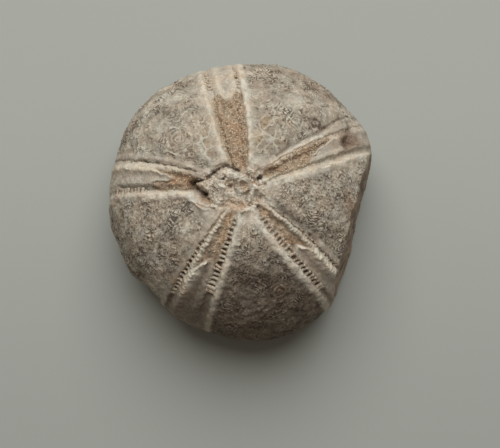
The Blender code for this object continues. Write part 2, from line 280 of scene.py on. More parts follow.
# Silica rings: the distance between small centres, how much they swirl, and how clear the placed
# ones are; the placed ones as places on the flattened dome, with radius
RING_CELL = 3.6 * MM
RING_SWIRL = 2.1 * MM
RINGED = 0.45
Ring = namedtuple("Ring", "arc angle radius")
RINGS = (
    Ring(14.1 * MM, math.radians(143), 3.3 * MM),
    Ring(21.7 * MM, math.radians(124), 2.0 * MM),
    Ring(23.1 * MM, math.radians(149), 1.9 * MM),
    Ring(14.7 * MM, math.radians(52), 2.6 * MM),
    Ring(20.1 * MM, math.radians(56), 1.4 * MM),
    Ring(14.2 * MM, math.radians(-82), 1.6 * MM),
    Ring(18.7 * MM, math.radians(-71), 2.4 * MM),
    Ring(18.4 * MM, math.radians(134), 1.5 * MM),
    Ring(10.6 * MM, math.radians(149), 1.3 * MM),
    Ring(17.6 * MM, math.radians(43), 1.7 * MM),
    Ring(20.6 * MM, math.radians(70), 1.8 * MM),
    Ring(11.0 * MM, math.radians(-86), 1.2 * MM),
    Ring(17.2 * MM, math.radians(7), 1.7 * MM),
    Ring(17.5 * MM, math.radians(-144), 2.0 * MM),
)

# Stains, bleached or plated patches, and one patch of painted light: places with reach and strength
Patch = namedtuple("Patch", "arc angle reach strength")
BROWN_PATCHES = (
    Patch(25.9 * MM, math.radians(66), 1.6 * MM, 0.6),
    Patch(25.3 * MM, math.radians(58), 1.5 * MM, 0.6),
    Patch(25.2 * MM, math.radians(49), 1.5 * MM, 0.5),
    Patch(24.4 * MM, math.radians(162), 1.6 * MM, 0.4),
    Patch(25.5 * MM, math.radians(182), 1.5 * MM, 0.5),
    Patch(19.6 * MM, math.radians(-13), 1.4 * MM, 0.6),
    Patch(18.4 * MM, math.radians(-8), 1.3 * MM, 0.6),
    Patch(20.6 * MM, math.radians(27), 1.5 * MM, 1.4),
    Patch(22.2 * MM, math.radians(29), 1.6 * MM, 1.4),
    Patch(23.4 * MM, math.radians(25), 1.2 * MM, 1.1),
    Patch(18.0 * MM, math.radians(-166), 2.6 * MM, 0.3),
    Patch(5.5 * MM, math.radians(150), 0.9 * MM, 0.8),
    Patch(20.0 * MM, math.radians(-126), 1.6 * MM, 0.7),
    Patch(18.3 * MM, math.radians(-71), 1.2 * MM, 0.4),
    Patch(20.5 * MM, math.radians(-52), 0.9 * MM, 0.8),
    Patch(1.8 * MM, math.radians(172), 0.9 * MM, 0.7),
    Patch(2.4 * MM, math.radians(-32), 0.7 * MM, 0.7),
    Patch(3.4 * MM, math.radians(92), 0.8 * MM, 0.7),
    Patch(9.6 * MM, math.radians(172), 1.2 * MM, 0.7),
)
RUST_PATCHES = (
    Patch(10.8 * MM, math.radians(171), 1.3 * MM, 0.9),
    Patch(12.6 * MM, math.radians(172), 0.9 * MM, 0.6),
    Patch(11.0 * MM, math.radians(100), 1.2 * MM, 0.7),
    Patch(8.4 * MM, math.radians(97), 0.9 * MM, 0.6),
    Patch(21.8 * MM, math.radians(91), 0.7 * MM, 0.9),
    Patch(3.9 * MM, math.radians(-136), 1.0 * MM, 0.9),
    Patch(3.3 * MM, math.radians(-118), 1.0 * MM, 1.0),
    Patch(3.1 * MM, math.radians(-98), 0.9 * MM, 0.9),
    Patch(0.3 * MM, math.radians(125), 0.9 * MM, 0.3),
    Patch(6.6 * MM, math.radians(-163), 0.7 * MM, 1.2),
    Patch(6.4 * MM, math.radians(-113), 1.0 * MM, 0.6),
    Patch(8.6 * MM, math.radians(-110), 0.9 * MM, 0.5),
    Patch(25.0 * MM, math.radians(184), 1.2 * MM, 0.5),
    Patch(25.0 * MM, math.radians(96), 0.9 * MM, 0.4),
    Patch(20.5 * MM, math.radians(-126), 1.1 * MM, 0.4),
    Patch(19.2 * MM, math.radians(-11), 1.2 * MM, 0.35),
)
PALE_PATCHES = (
    Patch(3.3 * MM, math.radians(-173), 1.4 * MM, 0.9),
    Patch(4.7 * MM, math.radians(172), 1.3 * MM, 0.8),
    Patch(3.4 * MM, math.radians(73), 1.2 * MM, 0.9),
    Patch(20.9 * MM, math.radians(113), 1.6 * MM, 0.9),
    Patch(18.5 * MM, math.radians(116), 1.1 * MM, 0.8),
    Patch(21.7 * MM, math.radians(126), 1.7 * MM, 0.6),
    Patch(17.5 * MM, math.radians(60), 1.6 * MM, 0.5),
    Patch(20.4 * MM, math.radians(52), 1.8 * MM, 0.5),
    Patch(5.6 * MM, math.radians(-88), 1.2 * MM, 0.5),
    Patch(5.6 * MM, math.radians(0), 1.5 * MM, 0.6),
    Patch(9.6 * MM, math.radians(-143), 1.7 * MM, 0.15),
    Patch(19.5 * MM, math.radians(12), 1.6 * MM, 0.5),
    Patch(18.0 * MM, math.radians(143), 3.4 * MM, 0.3),
    Patch(13.0 * MM, math.radians(128), 2.0 * MM, 0.3),
    # Painted light: lightens the shaded lower left side
    Patch(24.0 * MM, math.radians(-136), 2.6 * MM, 0.45),
)
PLATED_PATCHES = (
    Patch(8.8 * MM, math.radians(81), 1.1 * MM, 1.0),
    Patch(11.6 * MM, math.radians(73), 1.5 * MM, 1.0),
    Patch(7.6 * MM, math.radians(70), 1.4 * MM, 1.0),
    Patch(10.2 * MM, math.radians(62), 1.3 * MM, 0.9),
    Patch(8.6 * MM, math.radians(54), 1.1 * MM, 0.8),
    Patch(12.4 * MM, math.radians(118), 1.2 * MM, 0.9),
    Patch(11.0 * MM, math.radians(130), 1.6 * MM, 0.9),
    Patch(9.2 * MM, math.radians(136), 1.4 * MM, 0.9),
    Patch(13.4 * MM, math.radians(137), 1.3 * MM, 0.7),
)

# How dark and how speckled each panel is inside its pale frame, in the panels' order; the darkness
# is partly darker stone and partly painted shade, and grows down the side between two arcs
PANEL_DARK_AND_SHADE = (1.0, 0.25, 0.05, 0.0, 0.15)
PANEL_SPECKS = (0.7, 1.3, 0.3, 0.2, 0.9)
DARK_AND_SHADE_START = 6.5 * MM
DARK_AND_SHADE_FULL = 17.0 * MM
# Painted shade on the front petals' lower ends; further down, painted shade dims their chalk too
SHADE_START = 6.0 * MM
SHADE_FULL = 17.0 * MM
RIM_DIM_START = 17.5 * MM
RIM_DIM_FULL = 23.0 * MM
RIM_DIM = 1.2

# Mesh density: steps down the profile, how often a cube's edges are halved, the most triangles
# of the body, and how strongly its faces crowd towards the crown
PROFILE_STEPS = 3600
GRID_LEVEL = 8
TRIANGLE_LIMIT = 194000
CROWDING = 0.22

# Fine relief of the body: size of its features, detail and roughness, and then their heights.
# It is whole from a height above the ground, and weaker on the broken side, combs and rims
Rough = namedtuple("Rough", "size detail roughness")
CROWN_LUMPS = Rough(1.7 * MM, 3.0, 0.6)
PANEL_LUMPS = Rough(3.2 * MM, 3.0, 0.55)
RUBBLE = Rough(1.0 * MM, 3.0, 0.6)
LAYERS = Rough(3.6 * MM, 3.0, 0.5)
SKIN = Rough(0.8 * MM, 2.0, 0.5)
GRIT = Rough(0.65 * MM, 3.0, 0.65)
RUBBLE_HEIGHT = 0.7 * MM
LAYER_HEIGHT = 0.8 * MM
SKIN_HEIGHT = 0.30 * MM
GRIT_HEIGHT = 0.55 * MM
RING_DOME = -0.16 * MM
PLATE_SIZE = 1.8 * MM
PLATE_DOME = -0.20 * MM
RELIEF_FULL_HEIGHT = 2.5 * MM
BROKEN_SKIN = 0.35
COMB_RUBBLE = 0.6
RIM_GRIT = 0.4


class UrchinSizes(bpy.types.PropertyGroup):
    """Sizes of the fossil's fine shapes."""
    comb_pitch: bpy.props.FloatProperty(
        name="Comb pitch", description="Distance from one comb tooth to the next",
        default=0.85 * MM, unit="LENGTH")
    tooth_width: bpy.props.FloatProperty(
        name="Tooth width", description="Width of a comb tooth along its groove",
        default=0.56 * MM, unit="LENGTH")
    ring_pitch: bpy.props.FloatProperty(
        name="Ring pitch", description="Distance from one silica ring to the next",
        default=0.46 * MM, unit="LENGTH")
    lump_height: bpy.props.FloatProperty(
        name="Lump height", description="Height of the broad unevenness of the panels",
        default=0.45 * MM, unit="LENGTH")
    crown_roughness: bpy.props.FloatProperty(
        name="Crown roughness", description="Height of the lumps on the crown",
        default=1.9 * MM, unit="LENGTH")
    grain_size: bpy.props.FloatProperty(
        name="Grain size", description="Radius of the sand grains in the petals",
        default=0.11 * MM, unit="LENGTH")
    grain_density: bpy.props.FloatProperty(
        name="Grain density", description="Sand grains on each square metre of fill",
        default=1.6e7)
    crumb_size: bpy.props.FloatProperty(
        name="Crumb size", description="Radius of the crumbs on the crown",
        default=0.10 * MM, unit="LENGTH")
    crumb_density: bpy.props.FloatProperty(
        name="Crumb density", description="Crumbs on each square metre of the crown",
        default=9e6)
    tubercle_size: bpy.props.FloatProperty(
        name="Tubercle size", description="Radius of the knobs under the fossil",
        default=0.24 * MM, unit="LENGTH")
    tubercle_gap: bpy.props.FloatProperty(
        name="Tubercle gap", description="Least distance between two knobs",
        default=1.0 * MM, unit="LENGTH")
    seed: bpy.props.IntProperty(name="Seed", description="Seed of what is scattered", default=7)


def stone_colour(name, description, value):
    """A colour that the user may change."""
    return bpy.props.FloatVectorProperty(
        name=name, description=description, default=value, size=3, subtype="COLOR", min=0, max=1)


class UrchinColours(bpy.types.PropertyGroup):
    """Colours of the fossil and of the floor."""
    ground: stone_colour("Panel stone", "Middle tone of the panels", (0.355, 0.315, 0.258))
    silica: stone_colour("Silica rings", "Pale rings and grains of the panels", (0.58, 0.545, 0.465))
    pits: stone_colour("Pits", "Dark specks and pits", (0.115, 0.09, 0.068))
    tan: stone_colour("Tan plates", "Tan plates beside the back petal", (0.36, 0.285, 0.19))
    # Partly darker stone, partly painted shade: multiplies the panels and tongues lower down the front
    dusk: stone_colour("Dusky stone", "What the duskiest stone is multiplied by",
                       (0.39, 0.36, 0.34))
    shade: stone_colour("Shaded petals", "What the front petals' lower ends are multiplied by",
                        (0.58, 0.555, 0.53))
    chalk: stone_colour("Chalky rim", "White rims of the petals", (0.70, 0.67, 0.59))
    chalk_shade: stone_colour("Rim shade", "Duller parts of rims and combs", (0.50, 0.465, 0.39))
    blush: stone_colour("Blush", "Tinge of the pinkish parts", (1.0, 0.95, 0.905))
    cool: stone_colour("Cool", "Tinge of the greyish parts", (0.95, 0.965, 0.97))
    cream: stone_colour("Cream grain", "Pale sand, and combs of sandy petals", (0.66, 0.57, 0.44))
    sediment: stone_colour("Sediment", "Browner tone of the comb teeth", (0.44, 0.355, 0.265))
    fill: stone_colour("Brown fill", "Sandy fill of the petals", (0.36, 0.28, 0.20))
    rust: stone_colour("Rusty fill", "Rusty spots of the fill", (0.41, 0.26, 0.15))
    stain: stone_colour("Brown stain", "Brown stains on the stone", (0.21, 0.135, 0.09))
    # Dirt in holes and between grains, and painted shade deep in the comb slots
    dirt_and_shade: stone_colour("Dirt", "Dirt in slots and holes", (0.050, 0.034, 0.024))
    tongue: stone_colour("Tongue", "Smooth stone of the tongues", (0.43, 0.378, 0.32))
    crown: stone_colour("Crown", "Middle tone of the crown", (0.42, 0.37, 0.30))
    broken: stone_colour("Broken face", "Dark stone of the broken side", (0.28, 0.21, 0.16))
    floor: stone_colour("Floor", "Plain floor", (0.388, 0.413, 0.393))


# Shape of the body, worked out for whole arrays of points at once

def smooth(value, start, end):
    """Go smoothly from 0 at start to 1 at end."""
    share = np.clip((value - start) / (end - start), 0.0, 1.0)
    return share * share * (3.0 - 2.0 * share)


def between(low, high, share):
    """From low at share 0 to high at share 1."""
    return low + (high - low) * share


def hump(distance, reach):
    """Round hump, 1 in its middle and dying out past its reach."""
    return np.exp(-((distance / reach) ** 2))


def turned(angle):
    """An angle brought between minus and plus half a turn."""
    return (angle + math.pi) % (2.0 * math.pi) - math.pi


def plain_reach(out, up):
    """Distance from the body's middle to its plain surface in a direction."""
    rise = np.where(up >= 0.0, DOME_RISE, BELLY_DROP)
    power = np.where(up >= 0.0, DOME_POWER, BELLY_POWER)
    size = (np.abs(out) / BODY_RADIUS) ** power + (np.abs(up) / rise) ** power
    return size ** (-1.0 / power)


def meridian():
    """Polar angles and their distances down the plain body from the crown."""
    polars = np.linspace(0.0, math.pi, PROFILE_STEPS + 1)
    reach = plain_reach(np.sin(polars), np.cos(polars))
    out = reach * np.sin(polars)
    height = np.maximum(reach * np.cos(polars), -WIDEST_HEIGHT)
    steps = np.hypot(np.diff(out), np.diff(height))
    return polars, np.concatenate([[0.0], np.cumsum(steps)])


POLARS, ARCS = meridian()

Reading = namedtuple("Reading", "polar angle arc side reach")


def read_directions(directions):
    """Where each direction meets the plain body, in the terms that the relief is given in."""
    up = directions[:, 2]
    out = np.hypot(directions[:, 0], directions[:, 1])
    polar = np.arctan2(out, up)
    reach = plain_reach(out, up)
    angle = np.arctan2(directions[:, 1], directions[:, 0])
    return Reading(polar, angle, np.interp(polar, POLARS, ARCS), reach * out, reach)


def petal_angle(petal, arc):
    """Angle of the petal's middle line, which bends near the crown."""
    return petal.angle + petal.bend * np.exp(-arc / BEND_REACH)


def petal_width(petal, arc):
    """Half width of the petal, growing away from the crown."""
    return petal.width * (1.0 - np.exp(-arc / petal.reach))


Across = namedtuple("Across", "place side width inner growth along")


def across_petal(petal, reading):
    """Sideways place in one petal, its rim and its tongue's edge, all in metres."""
    offset = turned(reading.angle - petal_angle(petal, reading.arc)) * reading.side
    phase = petal.angle + np.sign(offset)
    offset = offset + EDGE_TREMBLE * wobble(reading, EDGE_TREMBLE_RUN, phase)
    width = petal_width(petal, reading.arc)
    growth = width / petal.width
    side = np.sign(offset)
    inner = petal.share * width + side * petal.shift * growth
    place = np.abs(offset)
    from_tip = np.minimum(np.abs(offset - petal.lean) / inner, 1.0 + abs(petal.lean) / inner)
    along = reading.arc - petal.tongue_start - petal.point * from_tip ** 2
    return Across(place, side, width, inner, growth, along)


def petal_strength(petal, arc):
    """How strongly the petal shows, from its top until it dies out under the rim."""
    rise = smooth(arc, petal.top, petal.top + PETAL_RISE)
    return rise * (1.0 - smooth(arc, PETAL_FADE, PETAL_END))


def wobble(reading, pitch, phase):
    """Soft unevenness along the petals, between about -1 and 1."""
    run = reading.arc / pitch
    return 0.6 * np.sin(2.1 * run + phase) + 0.4 * np.sin(5.3 * run + 2.3 * phase)


def comb_openness(own, arc):
    """How open the slots are at one way down a petal's side."""
    fade = smooth(arc, own.end - COMB_FADE, own.end)
    return own.slots * (1.0 - fade)


def groove_bounds(petal, cross):
    """Inner and outer edge of the pore groove, as distances from the petal's middle line."""
    outer = cross.width * GROOVE_OUTER_SHARE
    share = of_side(petal, cross, "inner")
    share = np.maximum(share, share * (1.0 - smooth(cross.along, -JOIN_REACH, 0.0)))
    return cross.inner + share * (outer - cross.inner), outer


def groove_shape(petal, cross):
    """Depth share across the pore groove between the comb ridge and the rim."""
    inner, outer = groove_bounds(petal, cross)
    middle = 0.5 * (outer + inner)
    half = 0.5 * (outer - inner)
    return smooth(1.0 - np.abs(cross.place - middle) / half, 0.0, 0.6)


def of_side(petal, cross, field):
    """A value of the petal's left or right side at each point."""
    return np.where(cross.side > 0, getattr(petal.left, field), getattr(petal.right, field))


def ridge_line(petal, cross):
    """Distance of the comb's ridge from the petal's middle line."""
    span = cross.width * GROOVE_OUTER_SHARE - cross.inner
    joined = 1.0 - 0.85 * smooth(cross.along, -JOIN_REACH, 0.5 * MM)
    return cross.inner + of_side(petal, cross, "place") * joined * span


def ridge_hump(petal, cross):
    """Share of the comb's ridge, which is broader where it is higher."""
    reach = RIDGE_REACH + RIDGE_SPREAD * of_side(petal, cross, "ridge")
    return hump(cross.place - ridge_line(petal, cross), reach)


def rim_height(petal, reading, cross):
    """Raised rim of a petal, higher on its stronger side."""
    waver = 1.0 + RIM_UNEVENNESS * wobble(reading, RIM_RUN, petal.angle * 3.0 + cross.side)
    beyond = cross.place - cross.width - RIM_PLACE
    reach = np.where(beyond > 0.0, RIM_OUTER_REACH, RIM_REACH * cross.growth)
    height = RIM_HEIGHT * between(0.6, 1.2, of_side(petal, cross, "rim"))
    return height * waver * hump(beyond, reach)


def comb_height(petal, reading, cross):
    """Pore groove, with the beaded ridge of the comb beside it."""
    depth = GROOVE_DEPTH * between(0.4, 1.0, of_side(petal, cross, "slots"))
    share = of_side(petal, cross, "ridge")
    turns = reading.arc / BEAD_PITCH + BEAD_UNEVENNESS * wobble(reading, BEAD_RUN, cross.side)
    beads = 1.0 + BEAD_SHARE * share * np.sin(2.0 * math.pi * turns)
    ridge = (RIDGE_HEIGHT + RIDGE_SWELL * share) * beads * ridge_hump(petal, cross)
    return ridge - depth * groove_shape(petal, cross)


def tongue_edge_distance(cross):
    """Distance inwards from the edge of the tongue."""
    return np.minimum(cross.inner - cross.place, cross.along)


def floor_height(petal, cross):
    """Sunken fill below the crown, and the tongue with its raised edge further down."""
    middle = smooth(cross.inner - cross.place, -0.05 * MM, 0.40 * MM)
    tongue = smooth(cross.along, -TONGUE_SLOPE, TONGUE_SLOPE)
    share = of_side(petal, cross, "edge")
    reach = TONGUE_EDGE_REACH * (0.7 + 0.5 * share)
    edge = TONGUE_EDGE * tongue * hump(tongue_edge_distance(cross) - TONGUE_EDGE_PLACE, reach)
    depth = FILL_DEPTH * (1.0 - 0.5 * petal.sand)
    floor = middle * (tongue * TONGUE_HEIGHT - (1.0 - tongue) * depth)
    return floor + edge * between(0.3, 1.0, share)


def petal_relief(petal, reading):
    """Height of one petal's rims, combs, fill and tongue against the dome."""
    cross = across_petal(petal, reading)
    height = rim_height(petal, reading, cross) + comb_height(petal, reading, cross)
    height = height + floor_height(petal, cross)
    return height * petal_strength(petal, reading.arc)


def panel_share(index, reading):
    """Share of the way across the panel that follows a petal, 0 outside it."""
    petal, follower = PETALS[index], PETALS[(index + 1) % len(PETALS)]
    side = np.maximum(reading.side, 0.05 * MM)
    growth = petal_width(petal, reading.arc) / petal.width
    start = petal_angle(petal, reading.arc)
    start = start + (petal_width(petal, reading.arc) + RIM_FOOT * growth) / side
    end = petal_angle(follower, reading.arc)
    end = end - (petal_width(follower, reading.arc) + RIM_FOOT * growth) / side
    span = (end - start) % (2.0 * math.pi)
    return np.clip(turned(reading.angle - start - 0.5 * span) / span + 0.5, 0.0, 1.0)


def panel_relief(index, reading):
    """Swell of one panel, with the ridge round its tip."""
    across = np.sin(math.pi * panel_share(index, reading))
    tip = PANEL_TIPS[index]
    swell = PANEL_SWELL * across * smooth(reading.arc, tip, tip + PANEL_RISE)
    return swell + TIP_RIDGE * np.sqrt(across) * hump(reading.arc - tip - 0.2 * MM, TIP_REACH)


def plan_of(arc, angle):
    """Place on the flattened dome."""
    return np.stack([arc * np.cos(angle), arc * np.sin(angle)], axis=-1)


def trembling_plan(reading):
    """Places on the flattened dome, shaken a little so that lines and spots look natural."""
    plan = plan_of(reading.arc, reading.angle)
    swapped = plan[:, ::-1]
    fine = np.sin(swapped / (0.42 * MM)) + np.sin(plan / (0.31 * MM) + 1.0)
    broad = np.sin(swapped / (1.1 * MM) + 2.0)
    return plan + TREMBLE * (0.5 * fine + broad)


def spot_distance(reading, arc, angle):
    """Distance on the flattened dome to a place on it."""
    gap = trembling_plan(reading) - plan_of(arc, angle)
    return np.hypot(gap[:, 0], gap[:, 1])


def line_distance(reading, points):
    """Distance on the flattened dome to a line through points of (arc in mm, degrees)."""
    plan = trembling_plan(reading)
    corners = [plan_of(arc * MM, math.radians(angle)) for arc, angle in points]
    nearest = np.full(len(plan), np.inf)
    for start, end in zip(corners, corners[1:]):
        run = end - start
        share = np.clip((plan - start) @ run / (run @ run), 0.0, 1.0)
        gap = plan - start - share[:, None] * run
        nearest = np.minimum(nearest, np.hypot(gap[:, 0], gap[:, 1]))
    return nearest


def rim_distance(reading):
    """Distance outwards from the nearest petal's rim, below 0 inside a petal."""
    crosses = [across_petal(petal, reading) for petal in PETALS]
    return np.min([cross.place - cross.width for cross in crosses], axis=0)


def crown_relief(reading):
    """Lumps, pits, ridges and crevices, and the ringed knob on the crown."""
    height = np.zeros(len(reading.arc))
    for spot in CROWN_SPOTS:
        height += spot.height * hump(spot_distance(reading, spot.arc, spot.angle), spot.reach)
    for line in LINES:
        height += line.height * hump(line_distance(reading, line.points), line.reach)
    knob = spot_distance(reading, KNOB_ARC, KNOB_ANGLE)
    height += KNOB_HEIGHT * hump(knob - KNOB_RADIUS, KNOB_REACH)
    height -= KNOB_HOLLOW * hump(knob - KNOB_RADIUS - KNOB_MOAT_PLACE, KNOB_MOAT_REACH)
    return height - KNOB_HOLLOW * hump(knob, KNOB_HOLLOW_REACH)


def crown_mask(reading):
    """1 on the lumpy plate in the middle, wider towards the left petal than the back one."""
    wider = hump(turned(reading.angle - CROWN_WIDER_ANGLE), CROWN_WIDER_SPREAD)
    narrower = hump(turned(reading.angle - CROWN_NARROWER_ANGLE), CROWN_NARROWER_SPREAD)
    size = CROWN_SIZE + CROWN_WIDER * wider - CROWN_NARROWER * narrower
    return 1.0 - smooth(reading.arc, size - 0.6 * MM, size + 0.8 * MM)


def side_relief(reading):
    """Worn flats and bulges of the side wall."""
    height = np.zeros(len(reading.arc))
    for flat in FLATS:
        height -= flat.depth * hump(turned(reading.angle - flat.angle), flat.spread)
    return height * smooth(reading.arc, FLAT_TOP, FLAT_FULL)


def all_relief(reading):
    """The whole relief of the body, in metres outwards."""
    height = side_relief(reading)
    for index, petal in enumerate(PETALS):
        height += petal_relief(petal, reading)
        height += panel_relief(index, reading)
    height += crown_relief(reading)
    return height * settle(reading)


def base_radius():
    """Radius of the ring on which the fossil rests."""
    share = 1.0 - (WIDEST_HEIGHT / BELLY_DROP) ** BELLY_POWER
    return BODY_RADIUS * share ** (1.0 / BELLY_POWER)


def base_polar():
    """Polar angle at which the belly meets the ground."""
    return math.pi - math.atan2(base_radius(), WIDEST_HEIGHT)


def settle(reading):
    """The relief dies out towards the flat base."""
    end = base_polar()
    return 1.0 - smooth(reading.polar, 0.5 * (0.5 * math.pi + end), end)


def break_reach(directions):
    """Distance from the middle to the broken face in each direction."""
    lean_cos, lean_sin = math.cos(BREAK_LEAN), math.sin(BREAK_LEAN)
    normal = np.array([
        math.cos(BREAK_ANGLE) * lean_cos, math.sin(BREAK_ANGLE) * lean_cos, lean_sin
    ])
    towards = directions @ normal
    first = 7.0 * directions[:, 1] + 4.0 * directions[:, 2]
    second = 13.0 * directions[:, 1] - 9.0 * directions[:, 2]
    wave = BREAK_WAVE * (0.6 * np.sin(first) + 0.4 * np.sin(second + 1.0))
    wave = wave + BREAK_BULGE * hump(directions[:, 1] - BREAK_BULGE_PLACE, BREAK_BULGE_REACH)
    distance = BREAK_DISTANCE * lean_cos + wave
    return np.where(towards > LEAST_TOWARDS, distance / np.maximum(towards, LEAST_TOWARDS), np.inf)


def soft_minimum(first, second, blend):
    """The smaller of two distances, with the edge between them rounded."""
    share = np.clip(0.5 + 0.5 * (second - first) / blend, 0.0, 1.0)
    second = np.minimum(second, 10.0 * BODY_RADIUS)
    return second + (first - second) * share - blend * share * (1.0 - share)


def body_points(directions):
    """Points of the finished body, before its finest relief, round its own axis."""
    reading = read_directions(directions)
    reach = reading.reach + all_relief(reading)
    reach = soft_minimum(reach, break_reach(directions), BREAK_BLEND)
    ground = WIDEST_HEIGHT / np.maximum(-directions[:, 2], 1e-6)
    reach = np.where(directions[:, 2] < 0.0, np.minimum(reach, ground), reach)
    points = directions * reach[:, None]
    points[:, 2] += WIDEST_HEIGHT
    flat_radius = np.hypot(points[:, 0], points[:, 1])
    hollow = MOUTH_DEPTH * (1.0 - smooth(flat_radius, 0.35 * MOUTH_RADIUS, MOUTH_RADIUS))
    lift = BASE_LIFT * smooth(base_radius() - flat_radius, 0.0, BASE_EDGE)
    points[:, 2] += np.where(reading.polar > base_polar(), np.maximum(hollow, lift), 0.0)
    return points


# Finishes of the body, painted shade among them, each a share from 0 to 1 on every point of its mesh
MASKS = (
    "rim", "ridge", "crest", "slots", "shade", "fill", "tongue", "panel", "dusk", "specks",
    "plated", "brown", "rust", "pale", "pit", "crown", "sand", "cream", "crumbs", "ringed",
    "broken", "under",
)


Zone = namedtuple("Zone", "petal cross arc strength lit inside tongue")


def petal_zone(petal, reading):
    """Where points lie in one petal, how far painted shade dims its chalk, and what is inside or tongue.
    """
    cross = across_petal(petal, reading)
    dimmed = petal.dusk * smooth(reading.arc, RIM_DIM_START, RIM_DIM_FULL)
    return Zone(
        petal=petal, cross=cross, arc=reading.arc,
        strength=petal_strength(petal, reading.arc),
        # Painted shade: the chalk is dimmed towards the front petals' lower ends
        lit=1.0 - RIM_DIM * dimmed,
        inside=smooth(cross.width - cross.place, -0.1 * MM, 0.3 * MM),
        tongue=smooth(cross.along, -TONGUE_BLEND, TONGUE_BLEND),
    )


def rim_masks(masks, zone):
    """Chalk on a petal's rims, and faintly on the frame beyond them."""
    petal, cross = zone.petal, zone.cross
    beyond = cross.place - cross.width
    band = hump(beyond - RIM_BAND_PLACE, RIM_BAND * np.maximum(cross.growth, 0.75))
    band = band + FRAME_CHALK * hump(beyond - FRAME_WIDTH, FRAME_WIDTH)
    begun = smooth(zone.arc, petal.top, petal.top + RIM_RISE)
    # Painted shade dims this chalk towards the front petals' lower ends
    masks["rim"] += band * of_side(petal, cross, "rim") * zone.lit * begun


def slot_masks(masks, zone):
    """Brown stain in the slots, with painted shade deep in them, fading in down a comb and out at its
    end.
    """
    petal, cross = zone.petal, zone.cross
    slots, start, end = (of_side(petal, cross, field) for field in ("slots", "start", "end"))
    opened = slots ** 2 * smooth(zone.arc, start - SLOT_LEAD, start + SLOT_RISE)
    opened = opened * (1.0 - smooth(zone.arc, end - COMB_FADE, end))
    masks["slots"] += groove_shape(petal, cross) * zone.strength * opened


def fill_masks(masks, zone):
    """Sandy fill between the combs, and over them where they are buried; returns its share."""
    petal, cross = zone.petal, zone.cross
    ridge, slots = (of_side(petal, cross, field) for field in ("ridge", "slots"))
    begun = smooth(zone.arc, petal.top - 0.8 * MM, petal.top + 0.8 * MM)
    beside_ridge = ridge_line(petal, cross) - 0.3 * MM
    limit = np.where(ridge > 0.7, beside_ridge, groove_bounds(petal, cross)[0])
    limit = between(limit, cross.width, (1.0 - slots) * (1.0 - ridge))
    filled = smooth(limit - cross.place, -0.2 * MM, 0.3 * MM) * (1.0 - zone.tongue)
    masks["fill"] += filled * zone.inside * begun
    masks["sand"] += petal.sand * filled * zone.inside * begun
    masks["cream"] += petal.sand * smooth(cross.width - cross.place, -0.5 * MM, 0.2 * MM)
    return filled


def tongue_masks(masks, zone):
    """Bare tongue with its chalky edge; returns the tongue's share."""
    petal, cross = zone.petal, zone.cross
    bare = smooth(cross.inner - cross.place, -0.15 * MM, 0.35 * MM) * zone.tongue
    masks["tongue"] += bare
    share = of_side(petal, cross, "edge")
    reach = TONGUE_EDGE_REACH * (0.8 + 0.5 * share)
    edge = hump(tongue_edge_distance(cross) - 0.8 * TONGUE_EDGE_PLACE, reach)
    masks["rim"] += edge * zone.tongue * zone.strength * zone.lit * share
    return bare


def dark_and_shade_masks(masks, zone, bare):
    """Darker stone and painted shade on the tongue and the petal's foot, and painted shade towards the
    ends of its rims.
    """
    petal, cross = zone.petal, zone.cross
    foot = smooth(zone.arc, RIM_DIM_START - 1.0 * MM, RIM_DIM_FULL)
    masks["dusk"] += petal.dusk * np.maximum(bare, zone.inside * foot)
    lower = smooth(zone.arc, SHADE_START, SHADE_FULL) * zone.strength
    near = smooth(cross.width - cross.place, -2.6 * MM, -0.6 * MM)
    masks["shade"] += petal.dusk * lower * near


def comb_masks(masks, zone, filled, bare):
    """Whitish comb beside the fill and the tongue, with chalk on the crest of its ridge."""
    petal, cross = zone.petal, zone.cross
    ridge, start = (of_side(petal, cross, field) for field in ("ridge", "start"))
    comb = np.clip(zone.inside - filled - bare, 0.0, 1.0)
    masks["ridge"] += comb * between(0.45, 1.0, ridge) * zone.strength * zone.lit
    crest = ridge_hump(petal, cross) * smooth(ridge, 0.5, 1.0)
    begun = smooth(zone.arc, petal.top, np.maximum(start, petal.top + RIM_RISE))
    masks["crest"] += crest * zone.strength * begun * zone.lit


def petal_masks(masks, petal, reading):
    """Add one petal's rims, slots, fill, tongue, dusk and combs to the masks."""
    zone = petal_zone(petal, reading)
    rim_masks(masks, zone)
    slot_masks(masks, zone)
    filled = fill_masks(masks, zone)
    bare = tongue_masks(masks, zone)
    dark_and_shade_masks(masks, zone, bare)
    comb_masks(masks, zone, filled, bare)


def panel_masks(masks, reading):
    """Add panels, pale tips, specks, and middles with darker stone and painted shade lower down."""
    edge = rim_distance(reading)
    inside = smooth(edge, 0.4 * FRAME_WIDTH, 1.6 * FRAME_WIDTH)
    for index, tip in enumerate(PANEL_TIPS):
        across = np.sin(math.pi * panel_share(index, reading))
        on_tip = hump(reading.arc - tip - 0.3 * MM, TIP_REACH)
        masks["rim"] += TIP_CHALK[index] * np.sqrt(across) * on_tip
        own = inside * (across > 1e-6) * smooth(reading.arc, tip + 0.4 * MM, tip + 2.4 * MM)
        masks["panel"] += own
        # Darker stone and painted shade, growing down the panel
        dusk = own * smooth(reading.arc, DARK_AND_SHADE_START, DARK_AND_SHADE_FULL)
        masks["dusk"] += PANEL_DARK_AND_SHADE[index] * dusk
        masks["specks"] += PANEL_SPECKS[index] * own


